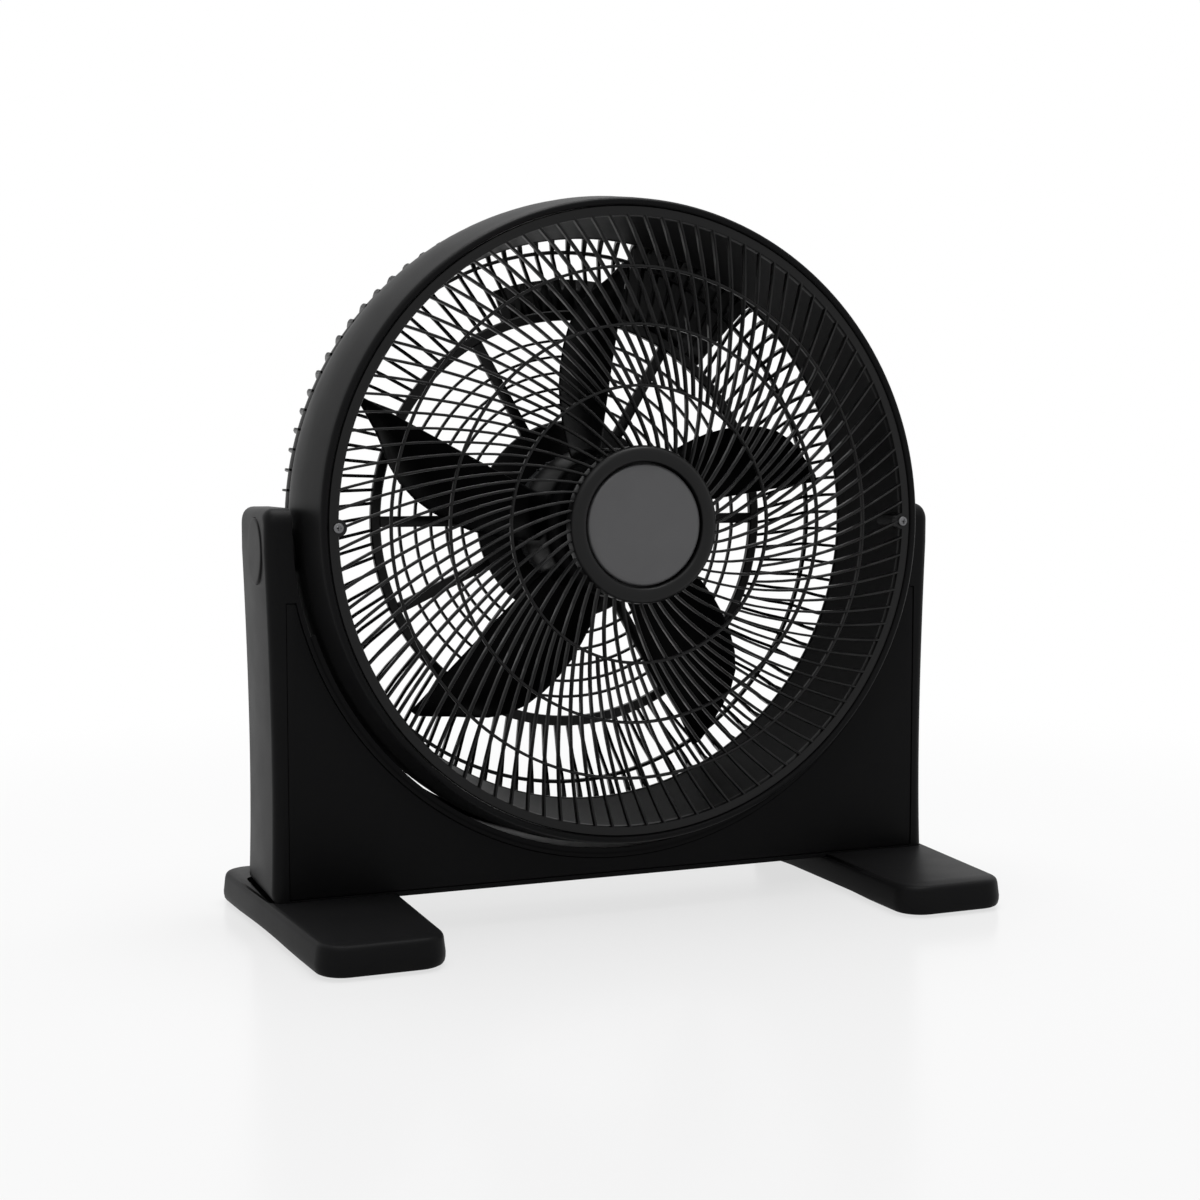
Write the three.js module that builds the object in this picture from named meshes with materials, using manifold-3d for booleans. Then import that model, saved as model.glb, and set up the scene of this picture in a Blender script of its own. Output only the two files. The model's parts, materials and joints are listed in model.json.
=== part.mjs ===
// Air circulator fan: a tilting round fan head carried between the arms of a
// U-shaped floor stand on two flat feet.
// Millimetres, +Z up, front of the fan towards -Y, origin on the floor under the middle.
import * as THREE from 'three';
import { mergeVertices } from 'three/addons/utils/BufferGeometryUtils.js';
import Module from 'manifold-3d';

const wasm = await Module();
wasm.setup();

// ---------------------------------------------------------------- driving dimensions
const GAP = 0.3; // clearance left between neighbouring pieces
const SLIVER = 0.01; // detail finer than this is dropped from a finished body

// Stand
const STAND_FRONT = -4;
const STAND_REAR = 96;
const STAND_BOTTOM = 22.5;
const STAND_TOP = 321;
const STAND_HALF_WIDTH = 285; // at the pivots
const STAND_FOOT_HALF_WIDTH = 283;
const STAND_WAIST = 278.5; // control width that draws the sides in
const STAND_CORNER = 15; // front vertical corners
const ARM_TOP_RADIUS = 24;
const CUTOUT_RADIUS = 265;
const WALL = 3.5;
const COVER_HALF_WIDTH = 270.5;
const COVER_TOP = 250.5;
const COVER_THICKNESS = 3;

// Feet
const FOOT_HALF_LENGTH = 139;
const FOOT_INNER = 184;
const FOOT_OUTER_FRONT = 277;
const FOOT_OUTER_REAR = 300;
const FOOT_TOP = 25;
const FOOT_UNDERSIDE = 2;
const FOOT_CORNER = 22;
const FOOT_WALL = 4;
const FOOT_ARCH = 3;

// Head
const HEAD_HEIGHT = 307; // fan axis above the floor
const PIVOT_HEIGHT = 288;
const PIVOT_Y = 36;
const PIVOT_DROP = PIVOT_HEIGHT - HEAD_HEIGHT;
const SHROUD_FRONT = -38;
const SHROUD_REAR = 58;
const LIP_RADIUS = 251.5;
const OPENING_RADIUS = 246;
const SHROUD_RADIUS = 259;
const SHROUD_WALL = 3;
const DUCT_REAR_RADIUS = 231.5; // the air duct inside the shroud narrows to this
const DUCT_WALL = 2.2;
const WASHER_RADIUS = 17;
const CAP_SIDES = 28;
const SEAT_FACE = 260.5; // outer face of the shroud's pivot boss
const ARM_FACE = 264; // inner face of a stand arm round its pivot
const GRILLE_SCREW_RADIUS = 238;

// Front grille
const SPOKES = 82;
const HUB_RING_OUTER = 61.5;
const HUB_RING_INNER = 48.5;
const GRILLE_RINGS = [107.5, 154.5, 199]; // fine rings between the hub and the rim
const RIM_INNER = 237;
const RIM_OUTER = 245;
const ZONE_TWIST = [14, 8, 5, 5]; // degrees that a spoke turns in each zone, hub to rim
const SPOKE_WIDTH = 2.3;
const RING_WIDTH = 2.4;
const GRILLE_DEPTH = 5;
const GRILLE_BACK = -31; // rear face of the rim
const GRILLE_DOME = 13;

// Rear grille: radius and depth of the basket's section, centre to rim
const REAR_OUTSIDE = [
  [0, 111],
  [203, 111],
  [240, 107.5],
  [248, 104],
  [250.3, 99],
  [256.5, 72],
  [254.5, 60],
  [251, 58.3],
];
const REAR_INSIDE = [
  [231, 58.3],
  [231, 61.5],
  [247, 63],
  [248, 72],
  [243, 95],
  [203, 107.5],
  [0, 107.5],
];
const REAR_HOOP_TOP = 67; // the fins stand on the rim's hoop from here
const REAR_SPOKES = 30;
const REAR_LEAN = 12; // degrees that a rear spoke turns on its way out
const REAR_SPOKE_WIDTH = 3.2;
const REAR_THICKNESS = 3.5;
const REAR_FINE_RINGS = [84, 101, 118, 135, 152];
const REAR_THICK_RING = [168.5, 177];
const REAR_THIN_RING = [223.5, 226.5];
const REAR_STRUTS = 6;
const REAR_STRUT_WIDTH = 9;
const REAR_SCREW_RADIUS = 247.5;
const PANEL_ANGLES = [48.5, 76]; // the plain panel between two groups of rear spokes
const PANEL_BAND_ANGLE = 110; // a narrower band of it runs on to here
const PANEL_BAND_RADIUS = 205;

// Motor, blades and controls
const BLADES = 5;
const BLADE_PHASE = 8.5; // rear edge of the first blade, in degrees
const HUB_RADIUS = 60;
const HUB_WALL = 3;
const HUB_FRONT = 6;
const HUB_REAR = 66;
const HUB_RIBS = 6;
const SHAFT_RADIUS = 4;
const MOTOR_RADIUS = 55;
const MOTOR_FRONT = 50;
const MOTOR_COVER_RADIUS = 74;
const MOTOR_COVER_REAR = 126;
const KNOB_RADIUS = 19;
const KNOB_REAR = 138.6;

// ---------------------------------------------------------------- materials
const plastic = (color, roughness) =>
  new THREE.MeshStandardMaterial({ color, roughness, metalness: 0 });
const metal = (color, roughness) =>
  new THREE.MeshStandardMaterial({ color, roughness, metalness: 1 });
const SATIN_BLACK = plastic(0x1b1b1c, 0.5);
const GRILLE_BLACK = plastic(0x161617, 0.42);
const BLADE_BLACK = plastic(0x0f0f10, 0.4);
const BADGE_GREY = plastic(0x2c2c2e, 0.35);
const RUBBER = plastic(0x101010, 0.9);
const NYLON = plastic(0x3a3a3a, 0.6);
const STEEL = metal(0x9a9da0, 0.35);
const ZINC = metal(0xb4b6b8, 0.4);
const BRASS = metal(0xb08d4a, 0.35);
const COPPER = metal(0xa8572f, 0.45);
const LAMINATION = metal(0x6f7276, 0.55);

// ---------------------------------------------------------------- geometry helpers
const radians = (degrees) => (degrees * Math.PI) / 180;

function solid(geometry) {
  const bare = geometry.clone();
  for (const name of Object.keys(bare.attributes)) {
    if (name !== 'position') bare.deleteAttribute(name);
  }
  const merged = mergeVertices(bare, 1e-4);
  return new wasm.Manifold(
    new wasm.Mesh({
      numProp: 3,
      vertProperties: new Float32Array(merged.attributes.position.array),
      triVerts: new Uint32Array(merged.index.array),
    }),
  );
}

function geometryOf(body) {
  const mesh = body.simplify(SLIVER).getMesh();
  const geometry = new THREE.BufferGeometry();
  geometry.setAttribute('position', new THREE.BufferAttribute(mesh.vertProperties, 3));
  geometry.setIndex(new THREE.BufferAttribute(mesh.triVerts, 1));
  geometry.computeVertexNormals();
  return geometry;
}

const joined = (bodies) => bodies.reduce((sum, body) => sum.add(body));
const cut = (body, tools) => tools.reduce((left, tool) => left.subtract(tool), body);

// A flat outline in X and Z, carried along Y
function alongY(outline, from, to) {
  const geometry = new THREE.ExtrudeGeometry(outline, { depth: to - from, bevelEnabled: false });
  return solid(geometry.rotateX(Math.PI / 2).translate(0, to, 0));
}

// A flat outline in X and Y, carried along Z
function alongZ(outline, from, to) {
  const geometry = new THREE.ExtrudeGeometry(outline, { depth: to - from, bevelEnabled: false });
  return solid(geometry.translate(0, 0, from));
}

// A flat outline in Y and Z, carried along X
function alongX(outline, from, to) {
  const geometry = new THREE.ExtrudeGeometry(outline, { depth: to - from, bevelEnabled: false });
  const turn = new THREE.Matrix4().makeBasis(
    new THREE.Vector3(0, 1, 0),
    new THREE.Vector3(0, 0, 1),
    new THREE.Vector3(1, 0, 0),
  );
  return solid(geometry.applyMatrix4(turn).translate(from, 0, 0));
}

function rodY(radius, x, z, from, to, sides = 12) {
  const geometry = new THREE.CylinderGeometry(radius, radius, to - from, sides);
  return solid(geometry.translate(x, (from + to) / 2, z));
}

function rodX(radius, y, z, from, to, sides = 16) {
  const geometry = new THREE.CylinderGeometry(radius, radius, to - from, sides);
  return solid(geometry.rotateZ(Math.PI / 2).translate((from + to) / 2, y, z));
}

// A rod on the tilt axis, on one side of the fan, in the stand's or the head's heights
function pivotRod(side, radius, height, from, to, sides = 16) {
  const [near, far] = side > 0 ? [from, to] : [-to, -from];
  return rodX(radius, PIVOT_Y, height, near, far, sides);
}

function rodZ(radius, x, y, from, to, sides = 12) {
  const geometry = new THREE.CylinderGeometry(radius, radius, to - from, sides);
  return solid(geometry.rotateX(Math.PI / 2).translate(x, y, (from + to) / 2));
}

function block(x0, x1, y0, y1, z0, z1) {
  const geometry = new THREE.BoxGeometry(x1 - x0, y1 - y0, z1 - z0);
  return solid(geometry.translate((x0 + x1) / 2, (y0 + y1) / 2, (z0 + z1) / 2));
}

// A ring or disc turned about the fan axis from [radius, depth] pairs, listed from the
// front of the axis outwards and back, so that its faces point out
function turned(section, sides = 32) {
  const points = section.map(([radius, depth]) => new THREE.Vector2(radius, depth));
  const closed = section[0][0] > 0;
  if (closed) points.push(points[0].clone());
  return solid(new THREE.LatheGeometry(points, sides));
}

const tube = (inner, outer, from, to, sides = 20) =>
  turned([[inner, from], [outer, from], [outer, to], [inner, to]], sides);

function arc(cx, cy, radius, start, end, steps) {
  return Array.from({ length: steps + 1 }, (_, i) => {
    const angle = radians(start + ((end - start) * i) / steps);
    return new THREE.Vector2(cx + radius * Math.cos(angle), cy + radius * Math.sin(angle));
  });
}

// Rounds each corner [x, y, radius] of a convex outline given counter-clockwise
function rounded(corners, steps = 4) {
  const points = [];
  corners.forEach(([x, y, radius], i) => {
    const here = new THREE.Vector2(x, y);
    const last = corners[(i + corners.length - 1) % corners.length];
    const next = corners[(i + 1) % corners.length];
    const back = new THREE.Vector2(last[0], last[1]).sub(here).normalize();
    const ahead = new THREE.Vector2(next[0], next[1]).sub(here).normalize();
    if (radius === 0) {
      points.push(here);
      return;
    }
    const half = Math.acos(back.dot(ahead)) / 2;
    const middle = back.clone().add(ahead).normalize().multiplyScalar(radius / Math.sin(half));
    const centre = here.clone().add(middle);
    const from = here.clone().addScaledVector(back, radius / Math.tan(half)).sub(centre);
    const sweep = Math.PI - 2 * half;
    for (let step = 0; step <= steps; step += 1) {
      points.push(from.clone().rotateAround(new THREE.Vector2(), (sweep * step) / steps).add(centre));
    }
  });
  return points;
}

const rectangle = (x0, x1, y0, y1, radius, steps = 4) =>
  rounded([[x0, y0, radius], [x1, y0, radius], [x1, y1, radius], [x0, y1, radius]], steps);

// A closed skin through rings of points; each ring has the same number of points
function skinned(rings) {
  const count = rings[0].length;
  const positions = rings.flat().flatMap((point) => [point.x, point.y, point.z]);
  const index = [];
  for (let ring = 0; ring + 1 < rings.length; ring += 1) {
    for (let i = 0; i < count; i += 1) {
      const a = ring * count + i;
      const b = ring * count + ((i + 1) % count);
      index.push(a, b, b + count, a, b + count, a + count);
    }
  }
  const last = (rings.length - 1) * count;
  for (let i = 1; i + 1 < count; i += 1) {
    index.push(0, i + 1, i, last, last + i, last + i + 1);
  }
  const geometry = new THREE.BufferGeometry();
  geometry.setAttribute('position', new THREE.Float32BufferAttribute(positions, 3));
  geometry.setIndex(index);
  return solid(geometry);
}

// ---------------------------------------------------------------- scene graph
const fan = new THREE.Group();
const head = new THREE.Group();
head.position.z = HEAD_HEIGHT;
fan.add(head);

function add(name, body, material, parent = fan) {
  const mesh = new THREE.Mesh(geometryOf(body), material);
  mesh.name = name;
  parent.add(mesh);
  return mesh;
}

const SIDES = [
  ['left', -1],
  ['right', 1],
];

// ---------------------------------------------------------------- stand
const COVER_SCREWS = [
  ['outer', 246, 70],
  ['inner', 100, 44],
];
const COVER_POST_END = 12;
const FOOT_SCREWS = [
  ['front', 235, 12],
  ['rear', 235, 80],
];
const FOOT_BOSS_TOP = 44;
const SCREW_SEAT = STAND_REAR - 3;

function standOutline() {
  const side = new THREE.QuadraticBezierCurve(
    new THREE.Vector2(STAND_FOOT_HALF_WIDTH, STAND_BOTTOM),
    new THREE.Vector2(STAND_WAIST, 120),
    new THREE.Vector2(STAND_HALF_WIDTH, PIVOT_HEIGHT),
  ).getPoints(4);
  const right = [...side, new THREE.Vector2(STAND_HALF_WIDTH, STAND_TOP)];
  const left = right.map((point) => new THREE.Vector2(-point.x, point.y)).reverse();
  const cutout = arc(0, HEAD_HEIGHT, CUTOUT_RADIUS, 0, -180, 40);
  const armIn = new THREE.Vector2(CUTOUT_RADIUS, STAND_TOP);
  const armOut = new THREE.Vector2(-CUTOUT_RADIUS, STAND_TOP);
  return new THREE.Shape([...right, armIn, ...cutout, armOut, ...left]);
}

// The front opening of the shell, or the cover that closes it, drawn in by a clearance
function coverOutline(clearance) {
  const radius = CUTOUT_RADIUS + WALL + clearance;
  const width = COVER_HALF_WIDTH - clearance;
  const top = COVER_TOP - clearance;
  const bottom = STAND_BOTTOM + WALL + clearance;
  const start = -THREE.MathUtils.radToDeg(Math.asin((HEAD_HEIGHT - top) / radius));
  return new THREE.Shape([
    new THREE.Vector2(-width, bottom),
    new THREE.Vector2(width, bottom),
    new THREE.Vector2(width, top),
    ...arc(0, HEAD_HEIGHT, radius, start, -180 - start, 30),
    new THREE.Vector2(-width, top),
  ]);
}

function standShell() {
  const plan = rounded([
    [-STAND_HALF_WIDTH, STAND_FRONT, STAND_CORNER],
    [STAND_HALF_WIDTH, STAND_FRONT, STAND_CORNER],
    [STAND_HALF_WIDTH, STAND_REAR, STAND_CORNER],
    [-STAND_HALF_WIDTH, STAND_REAR, STAND_CORNER],
  ]);
  const profile = rounded([
    [STAND_FRONT, STAND_BOTTOM, 0],
    [STAND_REAR, STAND_BOTTOM, 0],
    [STAND_REAR, STAND_TOP, ARM_TOP_RADIUS],
    [STAND_FRONT, STAND_TOP, ARM_TOP_RADIUS],
  ]);
  const outside = alongY(standOutline(), STAND_FRONT, STAND_REAR)
    .intersect(alongZ(new THREE.Shape(plan), STAND_BOTTOM, STAND_TOP))
    .intersect(alongX(new THREE.Shape(profile), -STAND_HALF_WIDTH, STAND_HALF_WIDTH));
  const posts = [];
  const bores = [];
  for (const [, side] of SIDES) {
    for (const [, x, z] of COVER_SCREWS) {
      posts.push(rodY(5, side * x, z, COVER_POST_END + GAP, STAND_REAR - 1, 8));
      bores.push(rodY(2.6, side * x, z, COVER_POST_END, STAND_REAR, 8));
      bores.push(rodY(5.4, side * x, z, SCREW_SEAT, STAND_REAR + 1, 10));
    }
    for (const [, x, y] of FOOT_SCREWS) {
      posts.push(rodZ(6, side * x, y, STAND_BOTTOM + 1, FOOT_BOSS_TOP, 8));
      bores.push(rodZ(2.6, side * x, y, STAND_BOTTOM - 1, FOOT_BOSS_TOP - 2, 8));
    }
    const [near, far] = [ARM_FACE - 8, STAND_HALF_WIDTH + 1];
    bores.push(pivotRod(side, 4.6, PIVOT_HEIGHT, near, far, 12));
    bores.push(pivotRod(side, WASHER_RADIUS + 0.8, PIVOT_HEIGHT, near, ARM_FACE, 20));
    bores.push(pivotRod(side, 8.5, PIVOT_HEIGHT, STAND_HALF_WIDTH - 9, far, 12));
    bores.push(pivotRod(side, 25.8, PIVOT_HEIGHT, STAND_HALF_WIDTH - 2, far, CAP_SIDES));
  }
  const hollow = alongY(coverOutline(0), STAND_FRONT - 1, STAND_REAR - WALL);
  return cut(joined([cut(outside, [hollow]), ...posts]), bores);
}

function standFrontCover() {
  const from = STAND_FRONT + 0.8;
  const plate = alongY(coverOutline(0.4), from, from + COVER_THICKNESS);
  const posts = [];
  const bores = [];
  for (const [, side] of SIDES) {
    for (const [, x, z] of COVER_SCREWS) {
      posts.push(rodY(5, side * x, z, from + 1, COVER_POST_END, 8));
      bores.push(rodY(2.5, side * x, z, from + 4, COVER_POST_END + 1, 8));
    }
  }
  return cut(joined([plate, ...posts]), bores);
}

// A pan-head screw along Y, its head seated at one depth and its tip at another
const screwY = (x, z, seat, tip, radius, headRadius, headHeight) => {
  const forward = tip < seat;
  const top = forward
    ? rodY(headRadius, x, z, seat, seat + headHeight, 10)
    : rodY(headRadius, x, z, seat - headHeight, seat, 10);
  const root = forward ? seat + 1 : seat - 1;
  return top.add(rodY(radius, x, z, Math.min(root, tip), Math.max(root, tip), 6));
};

add('stand_shell', standShell(), SATIN_BLACK);
add('stand_front_cover', standFrontCover(), SATIN_BLACK);
for (const [sideName, side] of SIDES) {
  for (const [place, x, z] of COVER_SCREWS) {
    const body = screwY(side * x, z, SCREW_SEAT + GAP, 4, 2, 4.4, 2.2);
    add(`cover_screw_${sideName}_${place}`, body, ZINC);
  }
}

// ---------------------------------------------------------------- feet
const PAD_INSET = 20;
const PAD_RADIUS = 10;

// Outline of a foot on the right-hand side, drawn in by an inset
function footOutline(inset) {
  const front = -FOOT_HALF_LENGTH + inset;
  const rear = FOOT_HALF_LENGTH - inset;
  const radius = FOOT_CORNER - inset;
  return rounded([
    [FOOT_INNER + inset, front, radius],
    [FOOT_OUTER_FRONT - inset, front, radius],
    [FOOT_OUTER_REAR - inset, rear, radius],
    [FOOT_INNER + inset, rear, radius],
  ]);
}

const mirrored = (points, side) =>
  side > 0 ? points : points.map((point) => new THREE.Vector2(-point.x, point.y)).reverse();

function footPadPlaces() {
  const front = -FOOT_HALF_LENGTH + PAD_INSET;
  const rear = FOOT_HALF_LENGTH - PAD_INSET;
  return [
    ['front', (FOOT_INNER + FOOT_OUTER_FRONT) / 2, front],
    ['rear', (FOOT_INNER + FOOT_OUTER_REAR) / 2, rear],
  ];
}

function foot(side) {
  const levels = [
    [FOOT_UNDERSIDE, 3],
    [FOOT_UNDERSIDE + 5, 0],
    [FOOT_TOP - 4, 1.5],
    [FOOT_TOP - 1, 3],
    [FOOT_TOP, 5.5],
  ];
  const rings = levels.map(([height, inset]) =>
    mirrored(footOutline(inset), side).map((point) => new THREE.Vector3(point.x, point.y, height)),
  );
  const pocket = new THREE.Shape(mirrored(footOutline(FOOT_WALL + 3), side));
  const archSteps = 8;
  const archHalf = FOOT_HALF_LENGTH - 2 * PAD_INSET - PAD_RADIUS;
  const archPoints = Array.from({ length: archSteps + 1 }, (_, i) => {
    const across = 1 - (2 * i) / archSteps;
    return new THREE.Vector2(archHalf * across, FOOT_UNDERSIDE + FOOT_ARCH * (1 - across * across));
  });
  const under = FOOT_UNDERSIDE - 2;
  const arch = new THREE.Shape([
    new THREE.Vector2(-archHalf, under),
    new THREE.Vector2(archHalf, under),
    ...archPoints,
  ]);
  const posts = [];
  const bores = [];
  for (const [, x, y] of footPadPlaces()) {
    posts.push(rodZ(PAD_RADIUS + 2, side * x, y, FOOT_UNDERSIDE, FOOT_TOP - 2, 12));
  }
  for (const [, x, y] of FOOT_SCREWS) {
    posts.push(rodZ(8, side * x, y, FOOT_UNDERSIDE + 5, FOOT_TOP - FOOT_WALL, 10));
    bores.push(rodZ(2.6, side * x, y, FOOT_UNDERSIDE, FOOT_TOP, 6));
  }
  const clearance = 0.4;
  const seat = rectangle(
    -STAND_HALF_WIDTH - clearance,
    STAND_HALF_WIDTH + clearance,
    STAND_FRONT - clearance,
    STAND_REAR + clearance,
    STAND_CORNER,
  );
  const body = cut(skinned(rings), [
    alongZ(pocket, under, FOOT_TOP - FOOT_WALL - 2),
    alongX(arch, -FOOT_OUTER_REAR - 1, FOOT_OUTER_REAR + 1),
  ]);
  const recess = alongZ(new THREE.Shape(seat), STAND_BOTTOM - GAP, FOOT_TOP + 1);
  return cut(joined([body, ...posts]), [...bores, recess]);
}

for (const [sideName, side] of SIDES) {
  add(`foot_${sideName}`, foot(side), SATIN_BLACK);
  for (const [place, x, y] of footPadPlaces()) {
    const pad = rodZ(PAD_RADIUS, side * x, y, 0, FOOT_UNDERSIDE - GAP, 20);
    add(`foot_pad_${sideName}_${place}`, pad, RUBBER);
  }
  for (const [place, x, y] of FOOT_SCREWS) {
    const seat = FOOT_UNDERSIDE + 5 - GAP;
    const screw = rodZ(4.4, side * x, y, seat - 2.4, seat, 10)
      .add(rodZ(2, side * x, y, seat - 1, FOOT_BOSS_TOP - 4, 6));
    add(`foot_screw_${sideName}_${place}`, screw, ZINC);
  }
}

// ---------------------------------------------------------------- pivots
const BOLT_TIP = 242.5;
const BOLT_SEAT = STAND_HALF_WIDTH - 9 + GAP;
const INSERT_FROM = 243;
const INSERT_TO = 260;

for (const [sideName, side] of SIDES) {
  const capFrom = STAND_HALF_WIDTH - 2 + GAP;
  const cap = joined([
    pivotRod(side, 25.5, PIVOT_HEIGHT, capFrom, capFrom + 2.2, CAP_SIDES),
    pivotRod(side, 24, PIVOT_HEIGHT, capFrom + 1, capFrom + 3.2, CAP_SIDES),
  ]);
  add(`pivot_cap_${sideName}`, cap, SATIN_BLACK);
  const bolt = joined([
    pivotRod(side, SHAFT_RADIUS, PIVOT_HEIGHT, BOLT_TIP, BOLT_SEAT + 1, 8),
    pivotRod(side, 7.5, PIVOT_HEIGHT, BOLT_SEAT, BOLT_SEAT + 5, 6),
  ]);
  add(`pivot_bolt_${sideName}`, bolt, STEEL);
  const disc = pivotRod(side, WASHER_RADIUS, PIVOT_HEIGHT, SEAT_FACE + GAP, ARM_FACE - GAP, 20);
  const hole = pivotRod(side, SHAFT_RADIUS + 0.6, PIVOT_HEIGHT, SEAT_FACE, ARM_FACE, 12);
  const washer = disc.subtract(hole);
  add(`pivot_washer_${sideName}`, washer, NYLON);
}

// ---------------------------------------------------------------- shroud
const SHROUD_SIDES = 48;
const BLOCK_INNER = 232;
const BLOCK_FRONT = 16;
const BLOCK_REAR = 50;
const POST_END = -5;
const REAR_SCREW_ANGLES = [42, 138, 222, 318];

function shroudSection() {
  const outside = [
    [OPENING_RADIUS, SHROUD_FRONT + 2],
    [LIP_RADIUS - 4, SHROUD_FRONT],
    [LIP_RADIUS - 1, SHROUD_FRONT + 1],
    [LIP_RADIUS, SHROUD_FRONT + 5],
    [LIP_RADIUS + 2.5, SHROUD_FRONT + 18],
    [SHROUD_RADIUS - 0.8, 6],
    [SHROUD_RADIUS, 34],
    [LIP_RADIUS + 0.5, SHROUD_REAR],
  ];
  const hollow = [
    [LIP_RADIUS - SHROUD_WALL + 0.5, SHROUD_REAR],
    [SHROUD_RADIUS - SHROUD_WALL, 34],
    [LIP_RADIUS - 0.8, SHROUD_FRONT + 18],
    [OPENING_RADIUS + 0.8, SHROUD_FRONT + 18],
  ];
  const duct = [
    [DUCT_REAR_RADIUS + DUCT_WALL, SHROUD_REAR],
    [DUCT_REAR_RADIUS, SHROUD_REAR],
    [OPENING_RADIUS, SHROUD_FRONT + 9],
  ];
  return [...outside, ...hollow, ...duct];
}

function shroudRing() {
  const ring = turned(shroudSection(), SHROUD_SIDES);
  const core = rodY(SHROUD_RADIUS - 1.8, 0, 0, BLOCK_FRONT, BLOCK_REAR, SHROUD_SIDES);
  const airway = turned([
    [0, BLOCK_FRONT - 20],
    [DUCT_REAR_RADIUS + 11.5, BLOCK_FRONT - 20],
    [DUCT_REAR_RADIUS + 1, SHROUD_REAR + 1],
    [0, SHROUD_REAR + 1],
  ], SHROUD_SIDES);
  const lumps = [];
  const bores = [];
  for (const [, side] of SIDES) {
    const [x0, x1] = side > 0 ? [BLOCK_INNER, SHROUD_RADIUS] : [-SHROUD_RADIUS, -BLOCK_INNER];
    const carrier = block(x0, x1, BLOCK_FRONT, BLOCK_REAR, PIVOT_DROP - 17, 9).intersect(core);
    lumps.push(carrier.subtract(airway));
    lumps.push(pivotRod(side, WASHER_RADIUS, PIVOT_DROP, SHROUD_RADIUS - 8, SEAT_FACE, 20));
    const [w0, w1] = side > 0 ? [GRILLE_SCREW_RADIUS, 247] : [-247, -GRILLE_SCREW_RADIUS];
    lumps.push(block(w0, w1, GRILLE_BACK + GAP, -24, -3, 3));
    lumps.push(rodY(5.5, side * GRILLE_SCREW_RADIUS, 0, GRILLE_BACK + GAP, POST_END, 8));
    bores.push(pivotRod(side, 7, PIVOT_DROP, INSERT_FROM - 1, SHROUD_RADIUS + 4, 16));
    bores.push(rodY(2.2, side * GRILLE_SCREW_RADIUS, 0, GRILLE_BACK - 1, POST_END - 2, 6));
  }
  for (const angle of REAR_SCREW_ANGLES) {
    const x = REAR_SCREW_RADIUS * Math.cos(radians(angle));
    const z = REAR_SCREW_RADIUS * Math.sin(radians(angle));
    lumps.push(rodY(5.5, x, z, 34, SHROUD_REAR, 8));
    bores.push(rodY(2.2, x, z, 38, SHROUD_REAR + 1, 6));
  }
  return cut(joined([ring, ...lumps]), bores);
}

add('shroud_ring', shroudRing(), SATIN_BLACK, head);
for (const [sideName, side] of SIDES) {
  const sleeve = pivotRod(side, 7 - GAP, PIVOT_DROP, INSERT_FROM, INSERT_TO, 16);
  const hole = pivotRod(side, SHAFT_RADIUS + 0.4, PIVOT_DROP, INSERT_FROM - 1, INSERT_TO + 1, 12);
  add(`pivot_insert_${sideName}`, sleeve.subtract(hole), BRASS, head);
}

// ---------------------------------------------------------------- front grille
// Angle, in degrees, of a spoke's middle line at a radius
function spokeTurn(radius) {
  const bounds = [HUB_RING_OUTER, ...GRILLE_RINGS, RIM_INNER];
  let turn = 0;
  for (let zone = 0; zone < ZONE_TWIST.length; zone += 1) {
    const span = (radius - bounds[zone]) / (bounds[zone + 1] - bounds[zone]);
    turn += ZONE_TWIST[zone] * THREE.MathUtils.clamp(span, 0, 1);
  }
  return turn;
}

const polar = (radius, degrees) =>
  new THREE.Vector2(radius * Math.cos(radians(degrees)), radius * Math.sin(radians(degrees)));

// The open cell between two neighbouring spokes and two rings
function cell(inner, outer, start, pitch, turnAt, width) {
  const edge = (radius) => THREE.MathUtils.radToDeg(width / 2 / radius);
  return new THREE.Path([
    polar(inner, start + turnAt(inner) + edge(inner)),
    polar(outer, start + turnAt(outer) + edge(outer)),
    polar(outer, start + turnAt(outer) + pitch - edge(outer)),
    polar(inner, start + turnAt(inner) + pitch - edge(inner)),
  ]);
}

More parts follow.
